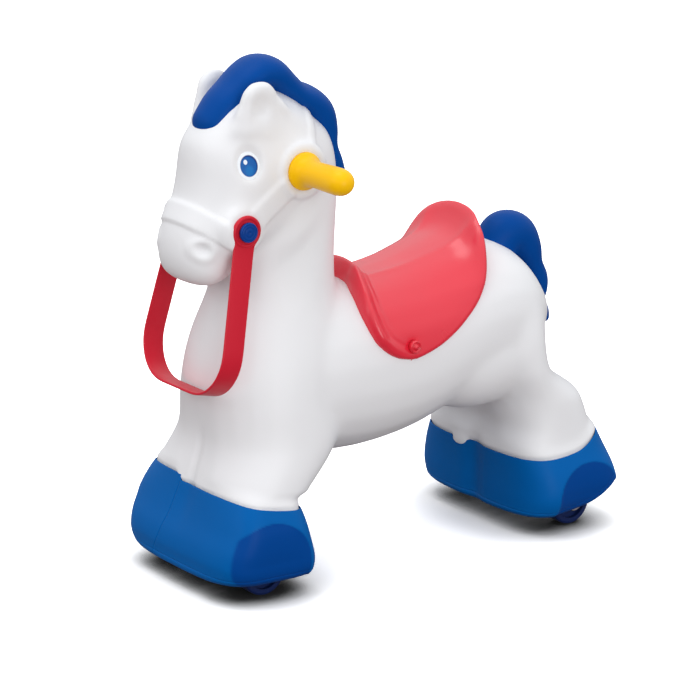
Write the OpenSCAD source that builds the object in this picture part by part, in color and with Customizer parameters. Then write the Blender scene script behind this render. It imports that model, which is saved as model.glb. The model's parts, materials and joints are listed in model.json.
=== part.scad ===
// Ride-on rocking horse for a small child: a blow-moulded body on two wheeled shoes,
// with a saddle, a mane, a tail, two hand grips and a rein that swings on two studs.
// The horse looks towards -X, its left side is -Y, and the wheels stand on Z = 0.

/* [Stance] */
// Distance between the front and the rear axle
wheelbase = 400; // [380:2:430]
// Height of the body's feet, where they sit inside the shoes
foot_z = 70; // [66:1:74]

/* [Body] */
// Half width of the barrel
barrel_half_w = 88; // [84:1:92]
// Height of the back under the saddle
back_z = 298; // [292:1:302]
// Height of the lowest point of the belly
belly_z = 120; // [112:1:130]
// Half width of the neck
neck_half_w = 60; // [54:1:64]
// Half width of the legs just above the shoes
leg_half_w = 101; // [97:1:103]
// Depth of the groove between the legs
leg_groove = 5; // [2:0.5:8]

/* [Head] */
// Half width of the head at the eyes
head_half_w = 56; // [52:1:58]
// Half width of the muzzle
muzzle_half_w = 47; // [42:1:50]
// Height of an ear above its root
ear_h = 43; // [36:1:48]
// Width of an ear at half its height
ear_w = 40; // [34:1:44]

/* [Shoes] */
// Length of the front shoe
front_shoe_len = 121; // [118:1:126]
// Length of the rear shoe
rear_shoe_len = 130; // [126:1:134]
// Width of each shoe
shoe_w = 237; // [231:2:243]
// Height of the sole's edge above the ground
sole_z = 20; // [16:1:23]
// Height of the front shoe's rim above the ground, over its axle
front_rim_z = 98; // [94:1:102]
// Height of the rear shoe's rim above the ground, over its axle
rear_rim_z = 90; // [86:1:94]
// Step up of the front panel's rim
panel_step = 6.5; // [4:0.5:8]
// Thickness of the shoe's wall
shoe_wall = 3; // [2.5:0.5:4]
// Thickness of the deck that the foot stands on
deck_t = 4; // [3:0.5:5]

/* [Wheels] */
// Diameter of a wheel
wheel_d = 50; // [46:1:54]
// Width of a wheel
wheel_w = 20; // [16:1:24]
// Distance between the two wheels of an axle, centre to centre
wheel_track = 142; // [136:2:150]
// Diameter of an axle
axle_d = 8; // [6:0.5:10]
// Running clearance of a wheel on its axle, in radius
wheel_play = 0.05; // [0.02:0.01:0.1]

/* [Grips] */
// Diameter of a grip
grip_d = 28; // [24:1:32]
// Length of a grip, from its flange to its end
grip_len = 80; // [70:1:90]
// Diameter of a grip's flange
grip_flange_d = 39; // [36:1:44]
// Diameter of the steel bar through the head
bar_d = 16; // [12:1:18]

/* [Rein] */
// Width of the strap
strap_w = 24; // [18:1:28]
// Thickness of the strap
strap_t = 2.5; // [2:0.1:3]
// Drop of the strap below its studs
strap_drop = 172; // [160:2:176]
// Diameter of the eye at each end of the strap
eye_d = 33; // [28:1:36]
// Diameter of the stud's head
stud_head_d = 22; // [18:1:24]
// Diameter of the stud's stem, on which the strap turns
stud_d = 10; // [8:0.5:12]

/* [Saddle] */
// Thickness of the saddle's shell
saddle_t = 4; // [3:0.5:5]
// Rise of the cantle above the back
cantle_rise = 64; // [50:1:70]
// Rise of the pommel above the back
pommel_rise = 20; // [14:1:26]

/* [Hidden] */

loft_sides = 22;
fine_sides = 96;
coarse_sides = 24;

// ---- smooth curves through stations ----

// Value between p1 and p2 on a Catmull-Rom curve
function smooth(p0, p1, p2, p3, t) =
    0.5 * (2 * p1 + (p2 - p0) * t + (2 * p0 - 5 * p1 + 4 * p2 - p3) * t * t
           + (3 * p1 - p0 - 3 * p2 + p3) * t * t * t);

// Row of a station table at u, where a whole number is the row itself
function at(rows, u) =
    let (last = len(rows) - 1, i = min(floor(u), last - 1))
    smooth(rows[max(i - 1, 0)], rows[i], rows[i + 1], rows[min(i + 2, last)], u - i);

// All rows with `steps` smooth ones for each gap between stations
function resample(rows, steps) =
    [for (k = [0:(len(rows) - 1) * steps]) at(rows, k / steps)];

function power(v, e) = sign(v) * pow(abs(v), e);

// One closed ring. A row is [x, z, tilt, half depth, half width, squareness, groove]: the ring
// lies in the plane that holds Y and the direction at `tilt` above +X.
function ring(row) =
    [for (i = [0:loft_sides - 1])
        let (t = 360 * i / loft_sides,
             u = power(cos(t), 2 / row[5]),
             v = power(sin(t), 2 / row[5]),
             y = row[4] * v,
             d = row[3] * u + (u < 0 ? row[6] * exp(-pow(y / 14, 2)) : 0))
        [row[0] + d * cos(row[2]), y, row[1] + d * sin(row[2])]];

// Closed solid through rings of equal length
module skin(rings) {
    n = len(rings[0]);
    last = len(rings) - 1;
    points = [for (r = rings) each r];
    sides = [for (k = [0:last - 1], i = [0:n - 1])
        let (a = k * n + i, b = k * n + (i + 1) % n)
        each [[a, b + n, b], [a, a + n, b + n]]];
    ends = [[for (i = [0:n - 1]) i], [for (i = [n - 1:-1:0]) last * n + i]];
    polyhedron(points = points, faces = concat(sides, ends));
}

module loft(rows, steps = 2) {
    skin([for (row = resample(rows, steps)) ring(row)]);
}

// A station of an upright form, from its front and rear faces
function upright(z, front, rear, half_w, square, groove = 0) =
    [(front + rear) / 2, z, 0, (rear - front) / 2, half_w, square, groove];

// A station of a lying form, from its lower and upper faces
function lying(x, low, high, half_w, square) =
    [x, (low + high) / 2, 90, (high - low) / 2, half_w, square, 0];

// ---- the body ----

front_axle_x = -wheelbase / 2;
rear_axle_x = wheelbase / 2;

function front_leg(z, front, rear, half_w, square, groove = 0) =
    upright(z, front_axle_x + front, front_axle_x + rear, half_w, square, groove);

front_rows = [
    front_leg(74, -50, 54, leg_half_w + 3, 3.2, leg_groove),
    front_leg(92, -46, 56, leg_half_w + 1, 3, leg_groove),
    front_leg(106, -41, 68, leg_half_w - 2, 2.8, leg_groove),
    front_leg(122, -37, 88, leg_half_w - 4, 2.7, leg_groove),
    front_leg(152, -25, 118, leg_half_w - 9, 2.4, leg_groove * 0.6),
    front_leg(190, -28, 120, 88, 2.2),
    front_leg(230, -26, 130, 82, 2.1),
    front_leg(265, -17, 134, neck_half_w + 12, 2.1),
    front_leg(300, -3, 130, neck_half_w + 2, 2),
    front_leg(340, 4, 130, neck_half_w - 2, 2),
    front_leg(385, 14, 134, neck_half_w - 6, 2),
    front_leg(430, 24, 134, neck_half_w - 10, 2),
    front_leg(465, 40, 124, neck_half_w - 22, 2),
    front_leg(484, 60, 100, 14, 2)];

trunk_rows = [
    lying(rear_axle_x + 8, 204, back_z - 78, 10, 2),
    lying(rear_axle_x, 194, back_z - 58, 34, 2),
    lying(rear_axle_x - 18, 180, back_z - 20, 60, 2),
    lying(rear_axle_x - 45, 170, back_z + 8, barrel_half_w - 8, 2),
    lying(rear_axle_x - 82, belly_z + 40, back_z + 20, barrel_half_w, 2.1),
    lying(70, belly_z + 30, back_z + 14, barrel_half_w + 2, 2.2),
    lying(20, belly_z + 10, back_z + 3, barrel_half_w + 1, 2.2),
    lying(-30, belly_z, back_z, barrel_half_w, 2.2),
    lying(-80, belly_z - 1, back_z, barrel_half_w - 1, 2.2),
    lying(front_axle_x + 70, belly_z + 8, back_z - 10, barrel_half_w - 8, 2.1),
    lying(front_axle_x + 20, 180, back_z - 50, barrel_half_w - 22, 2)];

function rear_leg(z, front, rear, half_w, square, groove = 0) =
    upright(z, rear_axle_x + front, rear_axle_x + rear, half_w, square, groove);

rear_rows = [
    rear_leg(74, -76, 46, leg_half_w + 3, 4, leg_groove),
    rear_leg(92, -76, 42, leg_half_w + 1, 4, leg_groove),
    rear_leg(104, -75, 37, leg_half_w - 1, 3.8, leg_groove),
    rear_leg(118, -71, 30, leg_half_w - 2, 3.2, leg_groove),
    rear_leg(150, -84, 26, leg_half_w - 4, 2.4),
    rear_leg(180, -96, -9, leg_half_w - 5, 2.3),
    rear_leg(215, -108, -14, 93, 2.2),
    rear_leg(250, -114, -14, 84, 2.1),
    rear_leg(285, -112, -32, 66, 2),
    rear_leg(305, -96, -54, 32, 2)];

// ---- the head ----

// A station of the head, from its brow point, its jaw point, its half width and squareness,
// with both points measured from the front axle
function head_row(brow, jaw, half_w, square = 2.1) =
    let (across = brow - jaw)
    [front_axle_x + (brow.x + jaw.x) / 2, (brow.y + jaw.y) / 2, atan2(across.y, across.x),
     norm(across) / 2, half_w, square, 0];

head_rows = [
    head_row([52, 513], [88, 500], 10, 2),
    head_row([28, 514], [108, 476], head_half_w - 26, 2),
    head_row([5, 506], [120, 450], head_half_w - 9),
    head_row([-15, 486], [120, 420], head_half_w - 2, 2.2),
    head_row([-33, 462], [108, 392], head_half_w + 1, 2.3),
    head_row([-36.5, 433], [84, 371], head_half_w + 1, 2.3),
    head_row([-41, 406], [54, 359], head_half_w - 1, 2.3),
    head_row([-53, 382], [28, 349], head_half_w - 5, 2.3),
    head_row([-58.5, 360], [10, 336], muzzle_half_w, 2.3),
    head_row([-58.5, 343], [-4, 326], muzzle_half_w - 1, 2.2),
    head_row([-52, 327], [-16, 319], muzzle_half_w - 10),
    head_row([-41, 320], [-27, 317], 16, 2)];

// Places on the head that other pieces share
stud_x = front_axle_x - 5;
stud_z = 378;
rein_boss_y = head_half_w + 2;
rein_boss_r = 25;
grip_x = front_axle_x + 65.5;
grip_z = 431;
grip_boss_y = head_half_w + 1;
grip_boss_r = 30;
eye_at = [front_axle_x + 3, head_half_w - 7, 444];
eye_turn = -20;
eye_half_w = 10.5;
eye_half_h = 13;
eye_t = 1;
fit_gap = 0.3;
boss_edge = 2.5;

// Does what follows on the left side (-Y) and on the right side (+Y)
module both_sides() {
    children();
    mirror([0, 1, 0]) children();
}

// A round bar across the horse, from y0 to y1
module cross_bar(x, z, r, y0, y1, sides = 64) {
    translate([x, y1, z]) rotate([90, 0, 0]) cylinder(r = r, h = y1 - y0, $fn = sides);
}

// An egg with half axes [x, y, z]
module egg(place, half_axes, sides = 16) {
    translate(place) scale(half_axes) sphere(r = 1, $fn = sides);
}

// A rounded boss that stands on the right side of the head
module boss(x, z, r, face_y, root_y) {
    hull() {
        cross_bar(x, z, r, root_y, face_y - boss_edge, 32);
        cross_bar(x, z, r - boss_edge, root_y, face_y, 32);
    }
}

// An ear is a rounded tab that flares into the side of the head and leans outwards
ear_at = [front_axle_x + 24, head_half_w - 19, 481];
ear_lean = 8;
ear_rows = [
    upright(-8, -0.86 * ear_w, 1.02 * ear_w, 17, 2),
    upright(ear_h * 0.16, -0.7 * ear_w, 0.78 * ear_w, 12, 2),
    upright(ear_h * 0.45, -0.57 * ear_w, 0.59 * ear_w, 9.5, 2.1),
    upright(ear_h * 0.77, -0.46 * ear_w, 0.43 * ear_w, 8, 2.2),
    upright(ear_h * 0.93, -0.31 * ear_w, 0.27 * ear_w, 5.5, 2.2),
    upright(ear_h, -0.13 * ear_w, 0.1 * ear_w, 2, 2)];

module ear() {
    translate(ear_at) rotate([-ear_lean, 0, 0]) difference() {
        loft(ear_rows, 1);
        // the hollow of the ear
        egg([-0.1 * ear_w, 11.5, ear_h * 0.55], [0.4 * ear_w, 6, ear_h * 0.4]);
    }
}

// ---- the rear lug: a small lobe of the body that hooks over the rear shoe's rim ----

lug_y = 26;
lug_r = 19;
lug_drop = 9;
lug_x = rear_axle_x - 76;

module lug() {
    hull() {
        egg([lug_x + 4, lug_y, rear_rim_z + 4], [6, lug_r, 8]);
        egg([lug_x + 5, lug_y, rear_rim_z - 5], [6.5, lug_r - 3, lug_drop]);
    }
}

// ---- rims: where the legs end and the shoes begin ----

// Stations of a rim, [x, z], from the front to the rear
front_rim = [for (r = [[-75, 14], [-43, 8], [-25, 3.5], [0, -1.5], [25, -5.5], [50, -9.5], [80, -13]])
    [front_axle_x + r[0], front_rim_z + r[1]]];
rear_rim = [for (r = [
    [-90, -4.5], [-73, -4], [-40, -3], [-12, 0], [3, 5], [18, 12.5], [36, 19], [70, 27]])
    [rear_axle_x + r[0], rear_rim_z + r[1]]];
panel_y = 10;
panel_rear_x = front_axle_x;

// The rear shoe's lower edge springs up towards the heel
rear_sole = [for (r = [
    [-90, -1], [-50, -1], [-34, 0], [-18, 2.5], [-5, 5.5], [8, 10], [20, 16.5], [32, 24],
    [44, 32], [70, 50]])
    [rear_axle_x + r[0], sole_z + r[1]]];

// All that lies below a rim, raised by `lift`
module below_rim(rim, lift) {
    line = resample(rim, 2);
    rotate([90, 0, 0]) linear_extrude(height = 2 * shoe_w, center = true)
        polygon(concat([for (p = line) [p.x, p.y + lift]], [[rim[len(rim) - 1].x, 0], [rim[0].x, 0]]));
}

// The same below the front rim, with its panel, whose edges are moved out by `grow`
module below_front_rim(lift, grow) {
    below_rim(front_rim, lift);
    intersection() {
        below_rim(front_rim, lift + panel_step);
        translate([front_axle_x - shoe_w, panel_y - grow, 0])
            cube([shoe_w + panel_rear_x - front_axle_x + grow, shoe_w, shoe_w]);
    }
}

// ---- the body, all of its outer forms ----

module horse_form() {
    difference() {
        loft(front_rows);
        below_front_rim(rim_gap, rim_gap);
    }
    loft(trunk_rows);
    difference() {
        loft(rear_rows);
        below_rim(rear_rim, rim_gap);
    }
    loft(head_rows);
}

// A foot plugs into its shoe down to the deck
module feet() {
    intersection() {
        loft(shoe_rows(front_shoe_rows, shoe_wall + rim_gap), 1);
        foot_block(front_rim);
    }
    intersection() {
        loft(shoe_rows(rear_shoe_rows, shoe_wall + rim_gap), 1);
        foot_block(rear_rim);
    }
}

module foot_block(rim) {
    intersection() {
        below_rim(rim, 5);
        translate([-wheelbase, -shoe_w, foot_z]) cube([2 * wheelbase, 2 * shoe_w, shoe_w]);
    }
}

// An oval plate on the cheek, grown by `grow`, `t` thick, for the right side
module eye_plate(grow, t, sink) {
    translate(eye_at) rotate([0, 0, eye_turn]) rotate([-90, 0, 0]) translate([0, 0, sink])
        linear_extrude(height = t)
            polygon([for (a = [0:12:348])
                [(eye_half_w + grow) * cos(a), (eye_half_h + grow) * sin(a)]]);
}

bar_r = bar_d / 2;
stem_r = stud_d / 2;
stem_len = 22;
screw_r = 2;
screw_gap = 0.1;
screw_bite = 10;
peg_r = 6;
mane_pegs = [[front_axle_x + 40, 505], [front_axle_x + 96, 488]];
tail_peg = [rear_axle_x - 32, 304];
peg_depth = 14;
peg_len = 32;
saddle_stud_x = -20;
saddle_stud_z = 236;
saddle_stem_r = 4;

module horse_body() {
    color("white")
    difference() {
        union() {
            horse_form();
            feet();
            both_sides() {
                ear();
                boss(stud_x, stud_z, rein_boss_r, rein_boss_y, 30);
                boss(grip_x, grip_z, grip_boss_r, grip_boss_y, 30);
            }
            lug();
        }
        both_sides() {
            cross_bar(stud_x, stud_z, stem_r + fit_gap, rein_boss_y - stem_len, rein_boss_y + 1,
                      coarse_sides);
            cross_bar(saddle_stud_x, saddle_stud_z, saddle_stem_r + fit_gap, stud_root_y - 4,
                      stud_seat_y + 10, coarse_sides);
            eye_plate(fit_gap, 12, -eye_t);
        }
        cross_bar(grip_x, grip_z, bar_r + fit_gap, -grip_boss_y - 1, grip_boss_y + 1,
                  coarse_sides);
        for (p = mane_pegs)
            translate([p.x, 0, p.y - peg_depth])
                cylinder(r = peg_r + fit_gap, h = 60, $fn = coarse_sides);
        translate([tail_peg.x, 0, tail_peg.y - peg_depth])
            cylinder(r = peg_r + fit_gap, h = 60, $fn = coarse_sides);
        for (x = [front_axle_x, rear_axle_x]) shoe_screw_places(x)
            translate([0, 0, foot_z - 1])
                cylinder(r = screw_r + screw_gap, h = screw_bite + 1.5, $fn = 12);
    }
}

// ---- mane and tail: rolls that run along a line of eggs ----

// Stations are [x, z, half thickness, half width], with x measured from an axle
mane_rows = [
    [-8, 483, 17, 23], [5, 499, 15, 24], [22, 512, 16, 26], [46, 527, 16, 27],
    [67, 518, 17, 29], [90, 500, 16, 31], [111, 485, 17, 31], [121, 464, 15, 28],
    [125, 440, 13, 26], [131, 416, 11, 22], [137, 397, 9, 15], [142, 388, 4, 8]];

tail_rows = [
    [-48, 300, 27, 23], [-36, 320, 24, 26], [-20, 318, 22, 26], [-7, 300, 18, 24],
    [2, 278, 13, 20], [8, 258, 10, 17], [10, 242, 8, 13], [14, 229, 7, 10], [16, 222, 5, 7]];

module roll(rows) {
    for (i = [0:len(rows) - 2]) hull() {
        for (r = [rows[i], rows[i + 1]]) egg([r[0], 0, r[1]], [r[2], r[3], r[2]], 14);
    }
}

module mane() {
    color("royalblue")
    union() {
        difference() {
            translate([front_axle_x, 0, 0]) roll(mane_rows);
            horse_form();
            both_sides() ear();
        }
        for (p = mane_pegs)
            translate([p.x, 0, p.y - peg_depth + fit_gap])
                cylinder(r = peg_r, h = peg_len, $fn = coarse_sides);
    }
}

module tail() {
    color("royalblue")
    union() {
        difference() {
            translate([rear_axle_x, 0, 0]) roll(tail_rows);
            horse_form();
        }
        translate([tail_peg.x, 0, tail_peg.y - peg_depth + fit_gap])
            cylinder(r = peg_r, h = peg_len, $fn = coarse_sides);
    }
}

// ---- saddle ----

// Stations down one flap: [angle from the top, front end, rear end]
saddle_rows = [
    [0, -57, 108], [20, -60, 107], [38, -66, 101], [57, -64, 84], [67, -59, 68],
    [75, -48, 47], [81, -34, 26], [84.5, -19, -3]];
saddle_steps = 2;
saddle_cuts = 10;

// A point on the barrel, at x and at an angle from its top, grown outwards
function barrel_row(x) = at(trunk_rows, barrel_u(x, 0));
function barrel_u(x, i) =
    i >= len(trunk_rows) - 2 || trunk_rows[i + 1][0] <= x
    ? i + (x - trunk_rows[i][0]) / (trunk_rows[i + 1][0] - trunk_rows[i][0])
    : barrel_u(x, i + 1);
function barrel_point(x, angle, grow, rise) =
    let (r = barrel_row(x))
    [x, (r[4] + grow) * power(sin(angle), 2 / r[5]),
     r[1] + (r[3] + grow) * power(cos(angle), 2 / r[5]) + rise];

// Rise of the seat above the back: a pommel lip in front, a cantle behind
function seat_rise(x, angle, front, rear) =
    let (from_front = x - front, to_rear = rear - x,
         over_top = pow(cos(angle * 0.9), 2), arch = 1 - smoothstep(22, 60, abs(angle)))
    pommel_rise * 0.85 * over_top * exp(-pow(from_front / 13, 2))
    + (cantle_rise - 16) * arch * smoothstep(34, 90, x)
    * (to_rear < 8 ? sqrt(max(to_rear, 0) / 8) : 1);

// 0 below a, 1 above b and an even blend between
function smoothstep(a, b, v) = let (t = max(0, min(1, (v - a) / (b - a)))) t * t * (3 - 2 * t);

module saddle_blank() {
    flap = resample(saddle_rows, saddle_steps);
    last = len(flap) - 1;
    strips = concat([for (i = [last:-1:1]) [-flap[i][0], flap[i][1], flap[i][2]]], flap);
    m = saddle_cuts + 1;
    function grid(grow, lifted) = [for (s = strips) [for (j = [0:saddle_cuts])
        let (x = s[1] + (s[2] - s[1]) * j / saddle_cuts)
        barrel_point(x, s[0], grow, lifted * seat_rise(x, s[0], s[1], s[2]))]];
    outer = grid(saddle_t, 1);
    inner = grid(-4, 0);
    rings = [for (i = [0:len(strips) - 1])
        concat(outer[i], [for (j = [saddle_cuts:-1:0]) inner[i][j]])];
    skin(rings);
}

module saddle() {
    color("crimson")
    difference() {
        union() {
            saddle_blank();
            front_bead();
        }
        horse_form();
        both_sides() {
            cross_bar(saddle_stud_x, saddle_stud_z, saddle_stem_r + fit_gap, stud_root_y - 4,
                      stud_seat_y + 20, coarse_sides);
            cross_bar(saddle_stud_x, saddle_stud_z, stud_seat_r, stud_seat_y, stud_seat_y + 20,
                      coarse_sides);
        }
    }
}

// The bead that stiffens the front edge of the saddle, from flap to flap
module front_bead() {
    flap = resample(saddle_rows, 1);
    last = len(flap) - 2;
    strips = concat([for (i = [last:-1:1]) [-flap[i][0], flap[i][1]]], flap);
    for (i = [0:len(strips) - 3]) hull() {
        for (s = [strips[i], strips[i + 1]])
            translate(barrel_point(s[1] + 3, s[0], saddle_t - 1, seat_rise(s[1] + 3, s[0], s[1], 98)))
                sphere(r = 3.4, $fn = 8);
    }
}

stud_seat_r = 9;
stud_seat_y = barrel_half_w + 2.5;
stud_root_y = barrel_half_w - 14;

// A round-headed stud through one flap into the body
module saddle_stud() {
    color("crimson") {
        cross_bar(saddle_stud_x, saddle_stud_z, saddle_stem_r, stud_root_y, stud_seat_y + 1);
        translate([saddle_stud_x, stud_seat_y, saddle_stud_z]) rotate([-90, 0, 0]) {
            cylinder(r = stud_seat_r - fit_gap, h = 1.6, $fn = 64);
            translate([0, 0, 1.6]) cylinder(r1 = 6, r2 = 4.5, h = 1.6, $fn = 64);
        }
    }
}

module saddle_stud_right() { saddle_stud(); }
module saddle_stud_left() { mirror([0, 1, 0]) saddle_stud(); }

// ---- eyes: oval labels that lie in shallow seats ----

module eye() { color("white") eye_plate(0, eye_t, -eye_t); }
module right_eye() { eye(); }
module left_eye() { mirror([0, 1, 0]) eye(); }

// ---- handle ----

bar_depth = 56;
bar_fit = 0.05;
grip_r = grip_d / 2;
flange_r = grip_flange_d / 2;
flange_t = 5;
flange_round = 6;

module handle_bar() {
    color("silver")
        cross_bar(grip_x, grip_z, bar_r, -grip_boss_y - bar_depth, grip_boss_y + bar_depth, fine_sides);
}

module grip() {
    color("gold")
    translate([grip_x, grip_boss_y, grip_z]) rotate([-90, 0, 0])
    difference() {
        union() {
            cylinder(r = flange_r, h = flange_t, $fn = fine_sides);
            cylinder(r = grip_r, h = grip_len - grip_r, $fn = fine_sides);
            translate([0, 0, grip_len - grip_r]) sphere(r = grip_r, $fn = fine_sides);
            translate([0, 0, flange_t]) rotate_extrude($fn = fine_sides) difference() {
                square([grip_r + flange_round, flange_round]);
                translate([grip_r + flange_round, flange_round]) circle(r = flange_round, $fn = 64);
            }
        }
        translate([0, 0, -1]) cylinder(r = bar_r + bar_fit, h = bar_depth + 2, $fn = fine_sides);
    }
}

module right_grip() { grip(); }
module left_grip() { mirror([0, 1, 0]) grip(); }

// ---- rein ----

rein_lean = 12.5;
rein_in_y = rein_boss_y + fit_gap;
rein_out_y = rein_in_y + strap_t;
rein_low_half = rein_out_y + 15;
rein_corner_r = 46;
stud_head_t = 4;

// The loop as seen from the front, `inset` in from its outer face
module rein_outline(inset) {
    r = rein_corner_r - inset;
    corner_y = rein_low_half - rein_corner_r;
    corner_z = -(strap_drop - rein_corner_r);
    top = rein_out_y - inset;
    low = rein_low_half - inset;
    top_z = inset > 0 ? 1 : 0;
    straight_z = -eye_d / 2;
    polygon([[-top, top_z], [top, top_z], [top, straight_z], [low, corner_z],
             [-low, corner_z], [-top, straight_z]]);
    for (side = [-1, 1]) translate([side * corner_y, corner_z]) circle(r = r, $fn = fine_sides);
    translate([-corner_y, corner_z - r]) square([2 * corner_y, r]);
}

module rein_strap() {
    color("crimson")
    translate([stud_x, 0, stud_z]) rotate([0, rein_lean, 0])
    difference() {
        union() {
            translate([-strap_w / 2, 0, 0]) rotate([90, 0, 90])
            linear_extrude(height = strap_w) difference() {
                rein_outline(0);
                rein_outline(strap_t);
            }
            both_sides() cross_bar(0, 0, eye_d / 2, rein_in_y, rein_out_y, fine_sides);
        }
        both_sides() cross_bar(0, 0, stem_r + wheel_play, rein_in_y - 1, rein_out_y + 1, fine_sides);
        // room for the boss inside the loop
        both_sides() cross_bar(0, 0, rein_boss_r + 2, rein_in_y - 6, rein_in_y, fine_sides);
    }
}

module rein_stud() {
    color("royalblue")
    difference() {
        union() {
            cross_bar(stud_x, stud_z, stem_r, rein_boss_y - stem_len + 2, rein_out_y + 1, fine_sides);
            cross_bar(stud_x, stud_z, stud_head_d / 2, rein_out_y + fit_gap,
                      rein_out_y + fit_gap + stud_head_t - 1.2, fine_sides);
            cross_bar(stud_x, stud_z, stud_head_d / 2 - 1.2, rein_out_y + fit_gap,
                      rein_out_y + fit_gap + stud_head_t, fine_sides);
        }
        translate([stud_x, rein_out_y + fit_gap + stud_head_t + 3, stud_z]) sphere(r = 4, $fn = 48);
    }
}

module right_rein_stud() { rein_stud(); }
module left_rein_stud() { mirror([0, 1, 0]) rein_stud(); }

// ---- wheels and what carries them ----

wheel_r = wheel_d / 2;
axle_r = axle_d / 2;
wheel_y = wheel_track / 2;
cheek_t = 4;
cheek_gap = 1;
bracket_half_w = wheel_w / 2 + cheek_gap + cheek_t;
bracket_half_l = 19;
bracket_plate_t = 4;
pad_t = 2;
deck_low = foot_z - deck_t;
bracket_top = deck_low - pad_t;
screw_dx = 13;
cap_r = axle_r + 4;
cap_t = 5;
cap_reach = 3;
axle_half_len = wheel_y + bracket_half_w + cap_reach;

module wheel(x, y) {
    round_r = 3;
    web = 5;
    color("midnightblue")
    translate([x, y, wheel_r]) rotate([90, 0, 0])
    difference() {
        union() {
            cylinder(r = wheel_r, h = wheel_w - 2 * round_r, center = true, $fn = 128);
            cylinder(r = wheel_r - round_r, h = wheel_w, center = true, $fn = 128);
            for (side = [0, 1]) mirror([0, 0, side])
                translate([0, 0, wheel_w / 2 - round_r]) rotate_extrude($fn = 128)
                    translate([wheel_r - round_r, 0]) circle(r = round_r, $fn = 48);
        }
        cylinder(r = axle_r + wheel_play, h = wheel_w + 2, center = true, $fn = 128);
        for (side = [0, 1]) mirror([0, 0, side]) translate([0, 0, wheel_w / 2 - web])
            difference() {
                cylinder(r = wheel_r - 2.2 * round_r, h = web + 1, $fn = 128);
                translate([0, 0, -1]) cylinder(r = axle_r + 4, h = web + 3, $fn = 128);
            }
    }
}

// A saddle bracket: a plate under the deck with two cheeks that hold the axle
module bracket(x, y) {
    color("dimgray")
    translate([x, y, 0])
    difference() {
        union() {
            translate([-bracket_half_l, -bracket_half_w, bracket_top - bracket_plate_t])
                cube([2 * bracket_half_l, 2 * bracket_half_w, bracket_plate_t]);
            for (low_y = [-bracket_half_w, bracket_half_w - cheek_t])
                translate([0, low_y + cheek_t, 0]) rotate([90, 0, 0])
                linear_extrude(height = cheek_t) {
                    polygon([[-bracket_half_l, bracket_top - bracket_plate_t / 2],
                             [bracket_half_l, bracket_top - bracket_plate_t / 2],
                             [axle_r + 5, wheel_r], [-axle_r - 5, wheel_r]]);
                    translate([0, wheel_r]) circle(r = axle_r + 5, $fn = fine_sides);
                }
        }
        cross_bar(0, wheel_r, axle_r + wheel_play, -bracket_half_w - 1, bracket_half_w + 1, fine_sides);
        for (dx = [-screw_dx, screw_dx]) translate([dx, 0, bracket_top - bracket_plate_t - 1])
            cylinder(r = screw_r + fit_gap / 2, h = bracket_plate_t + 2, $fn = 48);
    }
}

module axle(x) {
    color("silver") cross_bar(x, wheel_r, axle_r, -axle_half_len, axle_half_len, fine_sides);
}

// Push-on caps on both ends of an axle
module axle_caps(x) {
    color("silver") both_sides()
    translate([x, wheel_y + bracket_half_w, wheel_r]) rotate([-90, 0, 0])
    difference() {
        union() {
            cylinder(r = cap_r, h = 1.5, $fn = fine_sides);
            cylinder(r = axle_r + 1.5, h = cap_t, $fn = fine_sides);
        }
        translate([0, 0, -1]) cylinder(r = axle_r + bar_fit, h = cap_reach + 1 + bar_fit, $fn = fine_sides);
    }
}

module shoe_screw_places(x) {
    for (y = [-wheel_y, wheel_y], dx = [-screw_dx, screw_dx]) translate([x + dx, y, 0]) children();
}

// Pan-head screws that hold a pair of brackets, the shoe and the foot together
module shoe_screws(x) {
    color("silver") shoe_screw_places(x) {
        translate([0, 0, bracket_top - bracket_plate_t - 2.4]) cylinder(r = 4, h = 2.4, $fn = 48);
        translate([0, 0, bracket_top - bracket_plate_t - 0.5])
            cylinder(r = screw_r, h = foot_z + screw_bite - bracket_top + bracket_plate_t + 0.5,
                     $fn = 48);
    }
}

// ---- shoes ----

front_shoe_x = front_axle_x - 0.5;
rear_shoe_x = rear_axle_x - 10;
rim_gap = 0.6;
rib_t = 2.4;
rib_pitch = 22;
wheel_room = 2;
screw_pad_r = 5;

// A station of a shoe's outside: its height above the sole, how far its front, its rear and its
// sides stay behind the widest outline, its squareness and its waist
function shoe_row(x, len, up, front, rear, side, square, waist) =
    upright(sole_z + up, x - len / 2 + front, x + len / 2 - rear, shoe_w / 2 - side, square, waist);

front_shoe_rows = [for (r = [
    [0, 2, 1.5, 9, 3.2, 0], [5, 0.5, 0.5, 4, 3.6, 0], [12, 0.5, 2, 1, 4, 0],
    [22, 0, 2, 0, 4, 0], [36, 3, 5.5, 1, 4, 0], [53, 10, 9.5, 5, 4, 1],
    [67, 15, 13, 11, 4, 2], [79, 19, 16.5, 16.5, 3.6, 2], [92, 23, 19, 23, 3, 2],
    [104, 25, 21, 26, 2.8, 2]])
    shoe_row(front_shoe_x, front_shoe_len, r[0], r[1], r[2], r[3], r[4], r[5])];

rear_shoe_rows = [for (r = [
    [0, 3.5, 10, 16, 3.6, 3], [5, 0, 4, 8.5, 4.2, 4], [12, 0, 1, 3, 4.2, 5],
    [22, 0, -1, 0, 4.2, 5], [34, 0.5, -1, 0.5, 4.2, 5], [50, 0.5, 3, 5, 4.2, 5],
    [68, -0.5, 9, 12.5, 4, 5], [80, -1, 14, 16.5, 4, 5], [94, -1.5, 20, 19, 3.8, 5]])
    shoe_row(rear_shoe_x, rear_shoe_len, r[0], r[1], r[2], r[3], r[4], r[5])];

// The stations of a shoe, moved in by `inset`
function shoe_rows(rows, inset) = [for (r = rows) r - [0, 0, 0, inset, inset, 0, 0]];

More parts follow.
